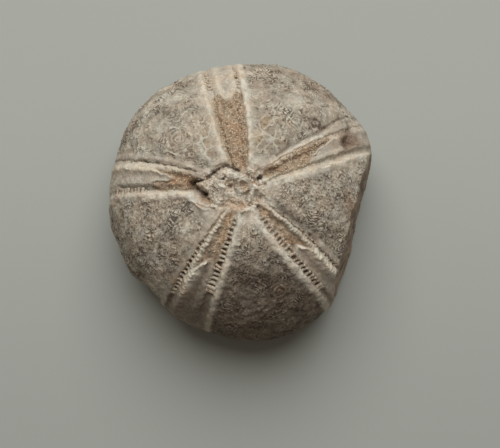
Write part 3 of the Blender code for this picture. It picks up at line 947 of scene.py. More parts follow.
def line_masks(masks, reading):
    """Add the dirt, chalk and rust of pits, ridges and crevices to the masks."""
    for spot in CROWN_SPOTS:
        if spot.height < 0.0:
            distance = spot_distance(reading, spot.arc, spot.angle)
            masks["pit"] += 0.9 * hump(distance, 0.85 * spot.reach)
    knob = spot_distance(reading, KNOB_ARC, KNOB_ANGLE)
    masks["pit"] += 0.5 * hump(knob - KNOB_RADIUS - KNOB_DIRT_PLACE, KNOB_DIRT_REACH)
    masks["brown"] += 0.6 * hump(knob, 0.8 * MM)
    for line in LINES:
        near = hump(line_distance(reading, line.points), 0.9 * line.reach)
        masks["pit"] += line.dark * near
        masks["rim"] += line.chalk * near
        masks["rust"] += line.rust * near


def patch_masks(masks, reading):
    """Add stains, bleached or plated patches, painted light and clear rings to the masks."""
    for ring in RINGS:
        distance = spot_distance(reading, ring.arc, ring.angle)
        masks["ringed"] += RINGED * hump(distance, 1.1 * ring.radius)
    for name, patches in (
        ("brown", BROWN_PATCHES), ("rust", RUST_PATCHES),
        ("pale", PALE_PATCHES), ("plated", PLATED_PATCHES),
    ):
        for patch in patches:
            distance = spot_distance(reading, patch.arc, patch.angle)
            masks[name] += patch.strength * hump(distance, patch.reach)


def surface_masks(points):
    """Shares of each finish at points of the body, from where they lie."""
    directions = points - np.array([0.0, 0.0, WIDEST_HEIGHT])
    directions = directions / np.linalg.norm(directions, axis=1)[:, None]
    reading = read_directions(directions)
    masks = {name: np.zeros(len(points)) for name in MASKS}
    for petal in PETALS:
        petal_masks(masks, petal, reading)
    panel_masks(masks, reading)
    line_masks(masks, reading)
    patch_masks(masks, reading)
    crown = crown_mask(reading)
    masks["crown"] = crown
    masks["fill"] *= 1.0 - crown
    masks["sand"] *= (1.0 - crown) * (1.0 - masks["pit"])
    masks["crumbs"] = 0.45 * crown * (1.0 - masks["pit"])
    body = reading.reach + all_relief(reading)
    masks["broken"] = smooth(body - break_reach(directions), -0.1 * MM, 0.25 * MM)
    below = smooth(reading.polar, UNDER_START, UNDER_FULL)
    # No darker stone or painted shade on the underside
    masks["dusk"] *= 1.0 - below
    masks["under"] = below * smooth(points[:, 2], TUBERCLE_LOW, BASE_LIFT)
    on_side = 1.0 - masks["broken"]
    for name in ("sand", "crumbs", "under"):
        masks[name] = masks[name] * on_side
    return {name: np.clip(values, 0.0, 1.0) for name, values in masks.items()}


def axis_shift():
    """Where the body's upright axis stands, so that the body fills the CAD box."""
    angles = np.linspace(-math.pi, math.pi, 1441)
    polars = np.radians(np.linspace(70.0, 120.0, 61))
    turn, tilt = np.meshgrid(angles, polars)
    directions = np.stack([
        np.sin(tilt) * np.cos(turn), np.sin(tilt) * np.sin(turn), np.cos(tilt)
    ], axis=-1).reshape(-1, 3)
    points = body_points(directions)
    middle = 0.5 * (points.min(axis=0) + points.max(axis=0))
    box_middle = 0.5 * (BOX_LOW + BOX_HIGH)
    return np.array([box_middle.x - middle[0], box_middle.y - middle[1], 0.0])


AXIS = axis_shift()


# Small turns, in radians, with which the way out of the surface is found
POLAR_NUDGE = 0.004
ANGLE_NUDGE = 0.02


def surface_place(arc, angle):
    """Point of the finished body, and the way out of it, at a place on the flattened dome."""
    polar = np.interp(arc, ARCS, POLARS)
    nudges = ((0.0, 0.0), (POLAR_NUDGE, 0.0), (0.0, ANGLE_NUDGE))
    directions = np.array([
        (math.sin(polar + tilt) * math.cos(angle + turn),
         math.sin(polar + tilt) * math.sin(angle + turn),
         math.cos(polar + tilt))
        for tilt, turn in nudges
    ])
    points = body_points(directions) + AXIS
    outward = np.cross(points[1] - points[0], points[2] - points[0])
    return Vector(points[0]), Vector(outward).normalized()


# Node trees, with the same calls for materials and for geometry

class Graph:
    """Adds and links nodes in one material or geometry tree."""

    def __init__(self, tree):
        self.tree = tree
        self.geometry = tree.bl_idname == "GeometryNodeTree"

    def node(self, kind, **settings):
        """A new node with its settings."""
        made = self.tree.nodes.new(kind)
        for name, value in settings.items():
            setattr(made, name, value)
        return made

    def put(self, socket, value):
        """Link a socket to another, or give it a plain value."""
        if isinstance(value, bpy.types.NodeSocket):
            self.tree.links.new(value, socket)
        elif value is not None:
            socket.default_value = value

    def math(self, operation, first, second=None):
        """One sum on numbers."""
        made = self.node("ShaderNodeMath", operation=operation)
        self.put(made.inputs[0], first)
        self.put(made.inputs[1], second)
        return made.outputs[0]

    def vector(self, operation, first, second):
        """One sum on vectors."""
        made = self.node("ShaderNodeVectorMath", operation=operation)
        self.put(made.inputs[0], first)
        self.put(made.inputs[1], second)
        return made.outputs["Value" if operation == "DISTANCE" else "Vector"]

    def scaled(self, vector, factor):
        """A vector times a number."""
        made = self.node("ShaderNodeVectorMath", operation="SCALE")
        self.put(made.inputs[0], vector)
        self.put(made.inputs["Scale"], factor)
        return made.outputs["Vector"]

    def add(self, *terms):
        """The sum of numbers."""
        total = terms[0]
        for term in terms[1:]:
            total = self.math("ADD", total, term)
        return total

    def times(self, *terms):
        """The product of numbers."""
        product = terms[0]
        for term in terms[1:]:
            product = self.math("MULTIPLY", product, term)
        return product

    def about(self, value, middle, gain):
        """How far a value lies from its middle, times gain."""
        return self.math("MULTIPLY", self.math("SUBTRACT", value, middle), gain)

    def mix(self, share, first, second):
        """Between two numbers."""
        made = self.node("ShaderNodeMix", data_type="FLOAT")
        self.put(made.inputs[0], share)
        self.put(made.inputs[2], first)
        self.put(made.inputs[3], second)
        return made.outputs[0]

    def blend(self, share, first, second, way="MIX"):
        """Between two colours."""
        made = self.node("ShaderNodeMix", data_type="RGBA", blend_type=way)
        self.put(made.inputs[0], share)
        self.put(made.inputs[6], first)
        self.put(made.inputs[7], second)
        return made.outputs[2]

    def step(self, value, start, end, low=0.0, high=1.0):
        """Go smoothly from low at start to high at end."""
        made = self.node("ShaderNodeMapRange", interpolation_type="SMOOTHSTEP")
        for place, item in enumerate((value, start, end, low, high)):
            self.put(made.inputs[place], item)
        return made.outputs[0]

    def noise(self, position, size, detail=2.0, roughness=0.5):
        """Noise whose features are about size metres across."""
        made = self.node("ShaderNodeTexNoise")
        self.put(made.inputs["Vector"], position)
        self.put(made.inputs["Scale"], 1.0 / size)
        self.put(made.inputs["Detail"], detail)
        self.put(made.inputs["Roughness"], roughness)
        return made.outputs[0]

    def swirl(self, position, size, amount):
        """Positions pushed about by up to half of amount."""
        made = self.node("ShaderNodeTexNoise")
        self.put(made.inputs["Vector"], position)
        self.put(made.inputs["Scale"], 1.0 / size)
        self.put(made.inputs["Detail"], 2.0)
        away = self.vector("SUBTRACT", made.outputs["Color"], (0.5, 0.5, 0.5))
        return self.vector("ADD", position, self.scaled(away, amount))

    def tones(self, value, dark, middle, pale):
        """Dark, middle and pale tone as value goes from 0 over 0.5 to 1."""
        low = self.blend(self.step(value, 0.0, 0.5), dark, middle)
        return self.blend(self.step(value, 0.5, 1.0), low, pale)

    def cells(self, position, size, feature="F1", output="Distance"):
        """Cell pattern whose cells are about size metres across."""
        made = self.node("ShaderNodeTexVoronoi", feature=feature)
        self.put(made.inputs["Vector"], position)
        self.put(made.inputs["Scale"], 1.0 / size)
        return made.outputs[output]

    def attribute(self, name):
        """A number stored on the mesh."""
        if self.geometry:
            made = self.node("GeometryNodeInputNamedAttribute", data_type="FLOAT")
            made.inputs["Name"].default_value = name
            return made.outputs["Attribute"]
        return self.node("ShaderNodeAttribute", attribute_name=name).outputs["Fac"]

    def position(self):
        """Where a point lies, the same in both kinds of tree."""
        if self.geometry:
            return self.node("GeometryNodeInputPosition").outputs[0]
        return self.node("ShaderNodeTexCoord").outputs["Object"]


def silica_rings(graph, position, pitch):
    """Wavy rings round many small centres, from 0 between two rings to 1 on a ring."""
    ragged = graph.swirl(position, 0.7 * MM, 0.70 * MM)
    swirled = graph.swirl(ragged, RING_SWIRL, 1.1 * RING_SWIRL)
    distance = graph.cells(swirled, RING_CELL)
    twist = graph.noise(position, 0.9 * MM, 2.0, 0.5)
    phase = graph.add(graph.times(distance, RING_CELL / pitch), graph.times(twist, 1.1))
    gently = graph.swirl(ragged, 1.8 * MM, 1.6 * MM)
    for ring in RINGS:
        centre = surface_place(ring.arc, ring.angle)[0]
        reach = graph.vector("DISTANCE", gently, centre)
        near = graph.step(reach, ring.radius, ring.radius - 0.6 * MM)
        turns = graph.add(graph.times(reach, 0.65 / pitch), graph.times(twist, 1.3))
        phase = graph.mix(near, phase, turns)
    wave = graph.math("SINE", graph.times(phase, 2.0 * math.pi))
    return graph.step(wave, -1.0, 1.0)


def ring_share(graph, position):
    """How clear the rings are: strong in clusters, broken up, and faint in between."""
    cluster = graph.step(graph.noise(position, 3.0 * MM, 2.0, 0.5), 0.44, 0.62, 0.15, 1.0)
    gaps = graph.step(graph.noise(position, 0.8 * MM, 2.0, 0.5), 0.36, 0.62, 0.15, 1.0)
    return graph.math("MAXIMUM", graph.times(cluster, gaps), graph.attribute("ringed"))


def uneven(graph, position, rough, height):
    """Noise about 0 of one kind of roughness, times a height."""
    noise = graph.noise(position, rough.size, rough.detail, rough.roughness)
    return graph.about(noise, 0.5, height)


def panel_height(graph, position, sizes):
    """Broad lumps of the panels, and a low dome inside each small ring."""
    lumps = uneven(graph, position, PANEL_LUMPS, 2.0 * sizes.lump_height)
    swirled = graph.swirl(position, RING_SWIRL, 1.1 * RING_SWIRL)
    return graph.add(lumps, graph.about(graph.cells(swirled, RING_CELL), 0.45, RING_DOME))


def body_height(graph, position, sizes):
    """Fine relief of the body, in metres, for its geometry."""
    crown, broken = graph.attribute("crown"), graph.attribute("broken")
    plates = graph.about(graph.cells(position, PLATE_SIZE), 0.4, PLATE_DOME)
    rough = graph.add(graph.attribute("fill"), graph.times(graph.attribute("ridge"), COMB_RUBBLE))
    gritty = graph.times(graph.attribute("rim"), RIM_GRIT)
    gritty = graph.add(crown, graph.attribute("crest"), gritty)
    kept = graph.step(broken, 0.0, 1.0, 1.0, BROKEN_SKIN)
    return graph.add(
        graph.times(graph.attribute("panel"), panel_height(graph, position, sizes)),
        graph.times(graph.attribute("plated"), plates),
        graph.times(crown, uneven(graph, position, CROWN_LUMPS, sizes.crown_roughness)),
        graph.times(rough, uneven(graph, position, RUBBLE, RUBBLE_HEIGHT)),
        graph.times(gritty, uneven(graph, position, GRIT, GRIT_HEIGHT)),
        graph.times(broken, uneven(graph, position, LAYERS, LAYER_HEIGHT)),
        graph.times(uneven(graph, position, SKIN, SKIN_HEIGHT), kept),
    )


# Meshes

def object_from(name, mesh):
    """A new object in the scene from a mesh."""
    made = bpy.data.objects.new(name, mesh)
    bpy.context.scene.collection.objects.link(made)
    return made


def write_masks(mesh, axis):
    """Store every finish's share on the mesh's points."""
    count = len(mesh.vertices)
    places = np.empty(count * 3)
    mesh.vertices.foreach_get("co", places)
    masks = surface_masks(places.reshape(-1, 3) - axis)
    for name, values in masks.items():
        if name in mesh.attributes:
            mesh.attributes.remove(mesh.attributes[name])
        mesh.attributes.new(name, "FLOAT", "POINT").data.foreach_set("value", values)


def finished_mesh(worker):
    """The plain mesh of an object with its modifiers done; the object is removed."""
    graph = bpy.context.evaluated_depsgraph_get()
    mesh = bpy.data.meshes.new_from_object(worker.evaluated_get(graph), depsgraph=graph)
    old = worker.data
    bpy.data.objects.remove(worker)
    bpy.data.meshes.remove(old)
    return mesh


def cube_grid(level):
    """A cube of fine quads, closed and welded."""
    cube = bmesh.new()
    bmesh.ops.create_cube(cube, size=2.0)
    mesh = bpy.data.meshes.new("grid")
    cube.to_mesh(mesh)
    cube.free()
    worker = object_from("grid", mesh)
    finer = worker.modifiers.new("finer", "SUBSURF")
    finer.subdivision_type = "SIMPLE"
    finer.levels = finer.render_levels = level
    return finished_mesh(worker)


def crowd_to_top(directions):
    """Move directions towards the crown, where the fine relief is."""
    out = np.hypot(directions[:, 0], directions[:, 1])
    polar = np.arctan2(out, directions[:, 2])
    moved = polar - CROWDING * np.sin(polar)
    scale = np.where(out > 1e-9, np.sin(moved) / np.maximum(out, 1e-9), 0.0)
    return np.stack([
        directions[:, 0] * scale, directions[:, 1] * scale, np.cos(moved)
    ], axis=-1)


def dense_body(level):
    """The body on a fine grid, with its masks."""
    mesh = cube_grid(level)
    count = len(mesh.vertices)
    places = np.empty(count * 3)
    mesh.vertices.foreach_get("co", places)
    places = np.tan(places.reshape(-1, 3) * 0.25 * math.pi)
    directions = places / np.linalg.norm(places, axis=1)[:, None]
    points = body_points(crowd_to_top(directions)) + AXIS
    mesh.vertices.foreach_set("co", points.ravel())
    mesh.update()
    write_masks(mesh, AXIS)
    return mesh


def geometry_tree(name, inputs=()):
    """An empty geometry tree with named inputs, as (tree, graph, group in, group out)."""
    tree = bpy.data.node_groups.new(name, "GeometryNodeTree")
    tree.interface.new_socket("Geometry", in_out="INPUT", socket_type="NodeSocketGeometry")
    for label, kind in inputs:
        tree.interface.new_socket(label, in_out="INPUT", socket_type=kind)
    tree.interface.new_socket("Geometry", in_out="OUTPUT", socket_type="NodeSocketGeometry")
    graph = Graph(tree)
    return tree, graph, graph.node("NodeGroupInput"), graph.node("NodeGroupOutput")


def add_tree(worker, tree, values):
    """Give an object a geometry tree, with its inputs set by their identifiers."""
    modifier = worker.modifiers.new(tree.name, "NODES")
    modifier.node_group = tree
    for item in tree.interface.items_tree:
        if item.item_type == "SOCKET" and item.in_out == "INPUT" and item.name in values:
            modifier[item.identifier] = values[item.name]


def finish_tree(graph, geometry, material, result):
    """Realize the instances and give them their material."""
    real = graph.node("GeometryNodeRealizeInstances")
    graph.put(real.inputs[0], geometry)
    painter = graph.node("GeometryNodeSetMaterial")
    graph.put(painter.inputs["Geometry"], real.outputs[0])
    painter.inputs["Material"].default_value = material
    graph.put(result.inputs[0], painter.outputs[0])


def fine_relief_tree(sizes, material):
    """Moves the body's points out by the fine relief."""
    tree, graph, source, result = geometry_tree("fine relief")
    position = graph.position()
    height = body_height(graph, position, sizes)
    above = graph.node("ShaderNodeSeparateXYZ")
    graph.put(above.inputs[0], position)
    height = graph.times(height, graph.step(above.outputs[2], 0.0, RELIEF_FULL_HEIGHT))
    normal = graph.node("GeometryNodeInputNormal")
    mover = graph.node("GeometryNodeSetPosition")
    graph.put(mover.inputs["Geometry"], source.outputs[0])
    graph.put(mover.inputs["Offset"], graph.scaled(normal.outputs[0], height))
    finish_tree(graph, mover.outputs[0], material, result)
    return tree


def make_body(sizes, colours):
    """The whole fossil's surface as one closed mesh."""
    level = GRID_LEVEL
    worker = object_from("body_worker", dense_body(level))
    add_tree(worker, fine_relief_tree(sizes, stone_material(sizes, colours)), {})
    fewer = worker.modifiers.new("fewer", "DECIMATE")
    fewer.ratio = min(1.0, TRIANGLE_LIMIT / (2.0 * len(worker.data.polygons)))
    mesh = finished_mesh(worker)
    mesh.name = "urchin_body"
    mesh.shade_smooth()
    write_masks(mesh, AXIS)
    return object_from("urchin_body", mesh)


# A tooth's section as (share of its width, height in mm), and its places along as (share of
# its length, height in mm)
TOOTH_SECTION = (
    (-0.5, -0.55), (-0.42, -0.05), (-0.20, 0.10), (0.20, 0.10), (0.42, -0.05), (0.5, -0.55),
)
TOOTH_SAG = (
    (-0.56, -0.026), (-0.36, -0.182), (-0.14, -0.312),
    (0.10, -0.338), (0.34, -0.208), (0.56, -0.026),
)


def tooth_mesh(width):
    """One comb tooth, 1 m long across its groove, sagging in the middle."""
    tooth = bmesh.new()
    rows = []
    for place, drop in TOOTH_SAG:
        rows.append([
            tooth.verts.new((side * width, place, (up + drop) * MM))
            for side, up in TOOTH_SECTION
        ])
    for row, following in zip(rows, rows[1:]):
        for i in range(len(row) - 1):
            tooth.faces.new((row[i], row[i + 1], following[i + 1], following[i]))
    tooth.faces.new(rows[0][::-1])
    tooth.faces.new(rows[-1])
    underside = [edge for edge in tooth.edges if edge.is_boundary]
    bmesh.ops.contextual_create(tooth, geom=underside)
    bmesh.ops.recalc_face_normals(tooth, faces=tooth.faces[:])
    mesh = bpy.data.meshes.new("tooth")
    tooth.to_mesh(mesh)
    tooth.free()
    mesh.shade_smooth()
    return mesh


GroovePoint = namedtuple("GroovePoint", "place outward across openness")


def groove_point(petal, side, arc):
    """A point in the middle of one groove, or None where the side is broken off."""
    own = petal.left if side > 0.0 else petal.right
    width = petal_width(petal, arc)
    inner = petal.share * width + side * petal.shift * width / petal.width
    outer = width * GROOVE_OUTER_SHARE
    beside_tongue = arc > petal.tongue_start - 0.5 * MM
    share = max(own.inner, 0.0) if beside_tongue else own.inner
    near = inner + share * (outer - inner)
    polar = np.interp(arc, ARCS, POLARS)
    radius = math.sin(polar) * float(plain_reach(math.sin(polar), math.cos(polar)))
    centre = petal_angle(petal, arc)
    low = surface_place(arc, centre + side * near / radius)[0]
    high = surface_place(arc, centre + side * outer / radius)[0]
    if not (inside_break(low) and inside_break(high)):
        return None
    outward = surface_place(arc, centre)[1]
    return GroovePoint(0.5 * (low + high), outward, high - low, comb_openness(own, arc))


def groove_path(petal, side):
    """The points down one groove."""
    own = petal.left if side > 0.0 else petal.right
    points = [groove_point(petal, side, arc) for arc in np.arange(own.start, own.end, COMB_STEP)]
    return [point for point in points if point is not None]


def groove_paths():
    """The points down all ten grooves."""
    return [groove_path(petal, side) for petal in PETALS for side in (-1.0, 1.0)]


def inside_break(point):
    """Whether a point lies on the unbroken part of the body."""
    outward = Vector((math.cos(BREAK_ANGLE), math.sin(BREAK_ANGLE), 0.0))
    place = Vector(AXIS) + outward * BREAK_DISTANCE + Vector((0.0, 0.0, WIDEST_HEIGHT))
    normal = outward * math.cos(BREAK_LEAN) + Vector((0.0, 0.0, math.sin(BREAK_LEAN)))
    return (point - place).dot(normal) < -BREAK_MARGIN


def path_mesh(paths):
    """Edges along the paths, with the way out, the way across and the width on each point."""
    points = [point for path in paths for point in path]
    edges = []
    first = 0
    for path in paths:
        edges += [(first + i, first + i + 1) for i in range(len(path) - 1)]
        first += len(path)
    mesh = bpy.data.meshes.new("groove_paths")
    mesh.from_pydata([point.place for point in points], edges, [])
    for name, values in (
        ("outward", [point.outward for point in points]),
        ("sideways", [point.across.normalized() for point in points]),
    ):
        layer = mesh.attributes.new(name, "FLOAT_VECTOR", "POINT")
        layer.data.foreach_set("vector", np.array(values).ravel())
    for name, values in (
        ("span", [point.across.length for point in points]),
        ("openness", [point.openness for point in points]),
    ):
        mesh.attributes.new(name, "FLOAT", "POINT").data.foreach_set("value", values)
    return mesh


def vector_attribute(graph, name):
    """A vector stored on the mesh, for a geometry tree."""
    made = graph.node("GeometryNodeInputNamedAttribute", data_type="FLOAT_VECTOR")
    made.inputs["Name"].default_value = name
    return made.outputs["Attribute"]


def random_value(graph, low, high, seed):
    """A number of its own for each point or instance."""
    made = graph.node("FunctionNodeRandomValue", data_type="FLOAT")
    made.inputs[2].default_value = low
    made.inputs[3].default_value = high
    graph.put(made.inputs["Seed"], seed)
    return made.outputs[1]


def random_vector(graph, size, seed):
    """A vector of its own for each point, up to size along each axis."""
    made = graph.node("FunctionNodeRandomValue", data_type="FLOAT_VECTOR")
    made.inputs[0].default_value = (-size, -size, -size)
    made.inputs[1].default_value = (size, size, size)
    graph.put(made.inputs["Seed"], seed)
    return made.outputs[0]


def keep_tint(graph, geometry, seed):
    """Give each instance its own number from 0 to 1, which its realized mesh keeps."""
    keeper = graph.node("GeometryNodeStoreNamedAttribute", data_type="FLOAT", domain="INSTANCE")
    graph.put(keeper.inputs["Geometry"], geometry)
    keeper.inputs["Name"].default_value = "tint"
    graph.put(keeper.inputs["Value"], random_value(graph, 0.0, 1.0, seed))
    return keeper.outputs[0]


def tooth_rotation(graph):
    """Stands a tooth upright on the surface and turns it across its groove."""
    upright = graph.node("FunctionNodeAlignRotationToVector", axis="Z")
    graph.put(upright.inputs["Vector"], vector_attribute(graph, "outward"))
    aligned = graph.node("FunctionNodeAlignRotationToVector", axis="Y", pivot_axis="Z")
    graph.put(aligned.inputs["Rotation"], upright.outputs[0])
    graph.put(aligned.inputs["Vector"], vector_attribute(graph, "sideways"))
    return aligned.outputs[0]


def tooth_size(graph, seed):
    """A tooth spans its groove; it is broader and lower where the slots are filled."""
    openness = graph.attribute("openness")
    width = graph.times(graph.mix(openness, 1.40, 1.0), random_value(graph, 0.88, 1.08, seed))
    height = graph.mix(graph.step(openness, 0.3, 0.7), 0.45, 1.0)
    height = graph.times(height, random_value(graph, 0.80, 1.1, seed))
    size = graph.node("ShaderNodeCombineXYZ")
    for axis, value in enumerate((width, graph.attribute("span"), height)):
        graph.put(size.inputs[axis], value)
    return size.outputs[0]


def comb_tree(material):
    """Teeth at even steps along each groove, a little out of line."""
    tree, graph, source, result = geometry_tree("pore combs", (
        ("Tooth", "NodeSocketObject"), ("Pitch", "NodeSocketFloat"), ("Seed", "NodeSocketInt"),
    ))
    seed = source.outputs["Seed"]
    curve = graph.node("GeometryNodeMeshToCurve")
    graph.put(curve.inputs[0], source.outputs["Geometry"])
    even = graph.node("GeometryNodeResampleCurve", mode="LENGTH")
    graph.put(even.inputs["Curve"], curve.outputs[0])
    graph.put(even.inputs["Length"], source.outputs["Pitch"])
    moved = graph.node("GeometryNodeSetPosition")
    graph.put(moved.inputs["Geometry"], even.outputs[0])
    graph.put(moved.inputs["Offset"], random_vector(graph, TOOTH_SHIFT, seed))
    tooth = graph.node("GeometryNodeObjectInfo")
    graph.put(tooth.inputs["Object"], source.outputs["Tooth"])
    placed = graph.node("GeometryNodeInstanceOnPoints")
    graph.put(placed.inputs["Points"], moved.outputs[0])
    graph.put(placed.inputs["Instance"], tooth.outputs["Geometry"])
    graph.put(placed.inputs["Rotation"], tooth_rotation(graph))
    graph.put(placed.inputs["Scale"], tooth_size(graph, seed))
    finish_tree(graph, keep_tint(graph, placed.outputs[0], seed), material, result)
    return tree


def make_combs(sizes, colours):
    """All teeth of the ten pore combs as one piece."""
    tooth = object_from("tooth_pattern", tooth_mesh(sizes.tooth_width))
    worker = object_from("comb_worker", path_mesh(groove_paths()))
    tree = comb_tree(comb_material(colours))
    add_tree(worker, tree, {"Tooth": tooth, "Pitch": sizes.comb_pitch, "Seed": sizes.seed})
    mesh = finished_mesh(worker)
    pattern = tooth.data
    bpy.data.objects.remove(tooth)
    bpy.data.meshes.remove(pattern)
    mesh.name = "pore_combs"
    return object_from("pore_combs", mesh)


def scatter_points(graph, source, mask, apart):
    """Points over the part of a surface that a mask marks, kept apart or at random."""
    method = "POISSON" if apart else "RANDOM"
    spread = graph.node("GeometryNodeDistributePointsOnFaces", distribute_method=method)
    graph.put(spread.inputs["Mesh"], source.outputs["Geometry"])
    graph.put(spread.inputs["Seed"], source.outputs["Seed"])
    share = graph.step(graph.attribute(mask), 0.05, 0.9)
    if apart:
        graph.put(spread.inputs["Distance Min"], source.outputs["Gap"])
        graph.put(spread.inputs["Density Max"], source.outputs["Density"])
        graph.put(spread.inputs["Density Factor"], share)
    else:
        graph.put(spread.inputs["Density"], graph.times(share, source.outputs["Density"]))
    return spread


def stone_size(graph, low, high, seed):
    """A size of its own for each stone, along each of its axes."""
    size = graph.node("ShaderNodeCombineXYZ")
    for axis in range(3):
        graph.put(size.inputs[axis], random_value(graph, low, high, seed))
    return size.outputs[0]


# Stones are uneven and roughly cut; knobs are even and rounder: (least size, most, subdivisions)
UNEVEN_STONES = (0.55, 1.35, 1)
EVEN_KNOBS = (0.85, 1.15, 2)


def scatter_tree(name, material, mask, apart):
    """Uneven stones at random, or even knobs kept apart, over what a mask marks."""
    tree, graph, source, result = geometry_tree(name, (
        ("Size", "NodeSocketFloat"), ("Density", "NodeSocketFloat"),
        ("Gap", "NodeSocketFloat"), ("Seed", "NodeSocketInt"),
    ))
    seed = source.outputs["Seed"]
    low, high, subdivisions = EVEN_KNOBS if apart else UNEVEN_STONES
    spread = scatter_points(graph, source, mask, apart)
    stone = graph.node("GeometryNodeMeshIcoSphere")
    graph.put(stone.inputs["Radius"], source.outputs["Size"])
    stone.inputs["Subdivisions"].default_value = subdivisions
    placed = graph.node("GeometryNodeInstanceOnPoints")
    graph.put(placed.inputs["Points"], spread.outputs["Points"])
    graph.put(placed.inputs["Instance"], stone.outputs["Mesh"])
    graph.put(placed.inputs["Rotation"], spread.outputs["Rotation"])
    graph.put(placed.inputs["Scale"], stone_size(graph, low, high, seed))
    finish_tree(graph, keep_tint(graph, placed.outputs[0], seed), material, result)
    return tree


def scattered(name, body, tree, values):
    """A piece scattered over the body by a tree."""
    worker = object_from(name + "_worker", body.data.copy())
    add_tree(worker, tree, values)
    mesh = finished_mesh(worker)
    mesh.name = name
    return object_from(name, mesh)


# Materials

# Specular levels of dull and of common stone
DULL_SHINE = 0.3
COMMON_SHINE = 0.5

# Roughness of the dullest and the brightest parts, specular level and bump distance
Finish = namedtuple("Finish", "dull bright shine bump")


def new_material(name):
    """A material with its shader, as (material, graph, shader)."""
    material = bpy.data.materials.new(name)
    material.use_nodes = True
    graph = Graph(material.node_tree)
    return material, graph, material.node_tree.nodes["Principled BSDF"]


def colour(values):
    """A colour with the fourth value that the nodes need."""
    return (values[0], values[1], values[2], 1.0)


def add_bump(graph, shader, height, distance):
    """Fine roughness in the light, for what is too fine to be raised."""
    bump = graph.node("ShaderNodeBump")
    bump.inputs["Strength"].default_value = 1.0
    bump.inputs["Distance"].default_value = distance
    graph.put(bump.inputs["Height"], height)
    graph.put(shader.inputs["Normal"], bump.outputs[0])


def finish_grains(graph, shader, stone, fine, finish):
    """Colour, uneven roughness, shine and bump of small stones and teeth."""
    graph.put(shader.inputs["Base Color"], stone)
    graph.put(shader.inputs["Roughness"], graph.step(fine, 0.3, 0.7, finish.dull, finish.bright))
    shader.inputs["Specular IOR Level"].default_value = finish.shine
    add_bump(graph, shader, fine, finish.bump)


def panel_colour(graph, position, rings, colours):
    """Blotchy grey and pinkish stone with clusters of dark strokes and pale rings."""
    grain = graph.noise(position, 0.36 * MM, 3.0, 0.65)
    blotch = graph.noise(position, 1.1 * MM, 3.0, 0.6)
    cloud = graph.noise(position, 3.4 * MM, 3.0, 0.55)
    grain_gain = graph.add(0.7, graph.times(graph.attribute("specks"), 1.8))
    value = graph.add(
        0.52,
        graph.times(graph.about(rings, 0.6, 1.0), ring_share(graph, position)),
        graph.times(graph.about(grain, 0.5, 1.0), grain_gain),
        graph.about(blotch, 0.5, 1.2),
        graph.about(cloud, 0.5, 1.5),
    )
    stone = graph.tones(value, colour(colours.pits), colour(colours.ground), colour(colours.silica))
    # Darker stone and painted shade lower down the front side
    return graph.blend(graph.attribute("dusk"), stone, colour(colours.dusk), "MULTIPLY")


def plated_colour(graph, position, colours):
    """Small tan and grey plates between white lines."""
    swirled = graph.swirl(position, 2.0 * MM, 0.8 * MM)
    tint = graph.cells(swirled, 1.9 * MM, "F1", "Color")
    plate = graph.blend(graph.step(tint, 0.35, 0.65), colour(colours.tan), colour(colours.ground))
    grain = graph.noise(position, 0.5 * MM, 3.0, 0.6)
    plate = graph.blend(graph.step(grain, 0.48, 0.36), plate, colour(colours.pits))
    edge = graph.cells(swirled, 1.9 * MM, "DISTANCE_TO_EDGE")
    return graph.blend(graph.step(edge, 0.10, 0.03), plate, colour(colours.silica))


def fill_colour(graph, position, colours):
    """Sandy brown with rusty patches, cream grains and dark gaps."""
    cloud = graph.noise(position, 1.6 * MM, 2.0, 0.5)
    rusty = graph.step(cloud, 0.52, 0.68, 0.0, 0.5)
    rusty = graph.add(graph.times(graph.attribute("rust"), 0.8), rusty)
    base = graph.blend(rusty, colour(colours.fill), colour(colours.rust))
    grain = graph.noise(position, 0.30 * MM, 3.0, 0.65)
    blotch = graph.noise(position, 0.8 * MM, 3.0, 0.6)
    value = graph.add(0.47, graph.about(grain, 0.5, 1.4), graph.about(blotch, 0.5, 1.8))
    return graph.tones(value, colour(colours.pits), base, colour(colours.cream))


def chalk_colour(graph, position, colours):
    """White rims, dirtier in patches."""
    patch = graph.noise(position, 1.6 * MM, 3.0, 0.6)
    grain = graph.noise(position, 0.4 * MM, 3.0, 0.6)
    value = graph.add(0.80, graph.about(patch, 0.5, 2.4), graph.about(grain, 0.5, 1.6))
    return graph.tones(value, colour(colours.ground), colour(colours.chalk_shade), colour(colours.chalk))


def ridge_colour(graph, position, colours):
    """Whitish grains of the combs over brown, creamier in the sandy petals."""
    grain = graph.noise(position, 0.36 * MM, 3.0, 0.65)
    blotch = graph.noise(position, 1.0 * MM, 3.0, 0.6)
    value = graph.add(0.60, graph.about(grain, 0.5, 3.0), graph.about(blotch, 0.5, 1.4))
    pale = graph.blend(
        graph.times(graph.attribute("cream"), 0.8), colour(colours.chalk), colour(colours.cream)
    )
    return graph.tones(value, colour(colours.fill), colour(colours.chalk_shade), pale)


def crown_colour(graph, position, colours):
    """Whitish gritty lumps with brown hollows."""
    lump = graph.noise(position, 1.7 * MM, 3.0, 0.6)
    grain = graph.noise(position, 0.40 * MM, 3.0, 0.7)
    value = graph.add(0.54, graph.about(lump, 0.5, 3.0), graph.about(grain, 0.5, 2.7))
    warm = graph.step(graph.noise(position, 1.3 * MM, 2.0, 0.5), 0.48, 0.60, 0.0, 0.6)
    middle = graph.blend(warm, colour(colours.crown), colour(colours.cream))
    return graph.tones(value, colour(colours.stain), middle, colour(colours.chalk))


def tongue_colour(graph, position, colours):
    """Smooth stone, a little cloudy."""
    cloud = graph.noise(position, 1.4 * MM, 3.0, 0.6)
    grain = graph.noise(position, 0.36 * MM, 3.0, 0.65)
    value = graph.add(0.5, graph.about(cloud, 0.5, 2.4), graph.about(grain, 0.5, 2.6))
    return graph.tones(value, colour(colours.ground), colour(colours.tongue), colour(colours.silica))


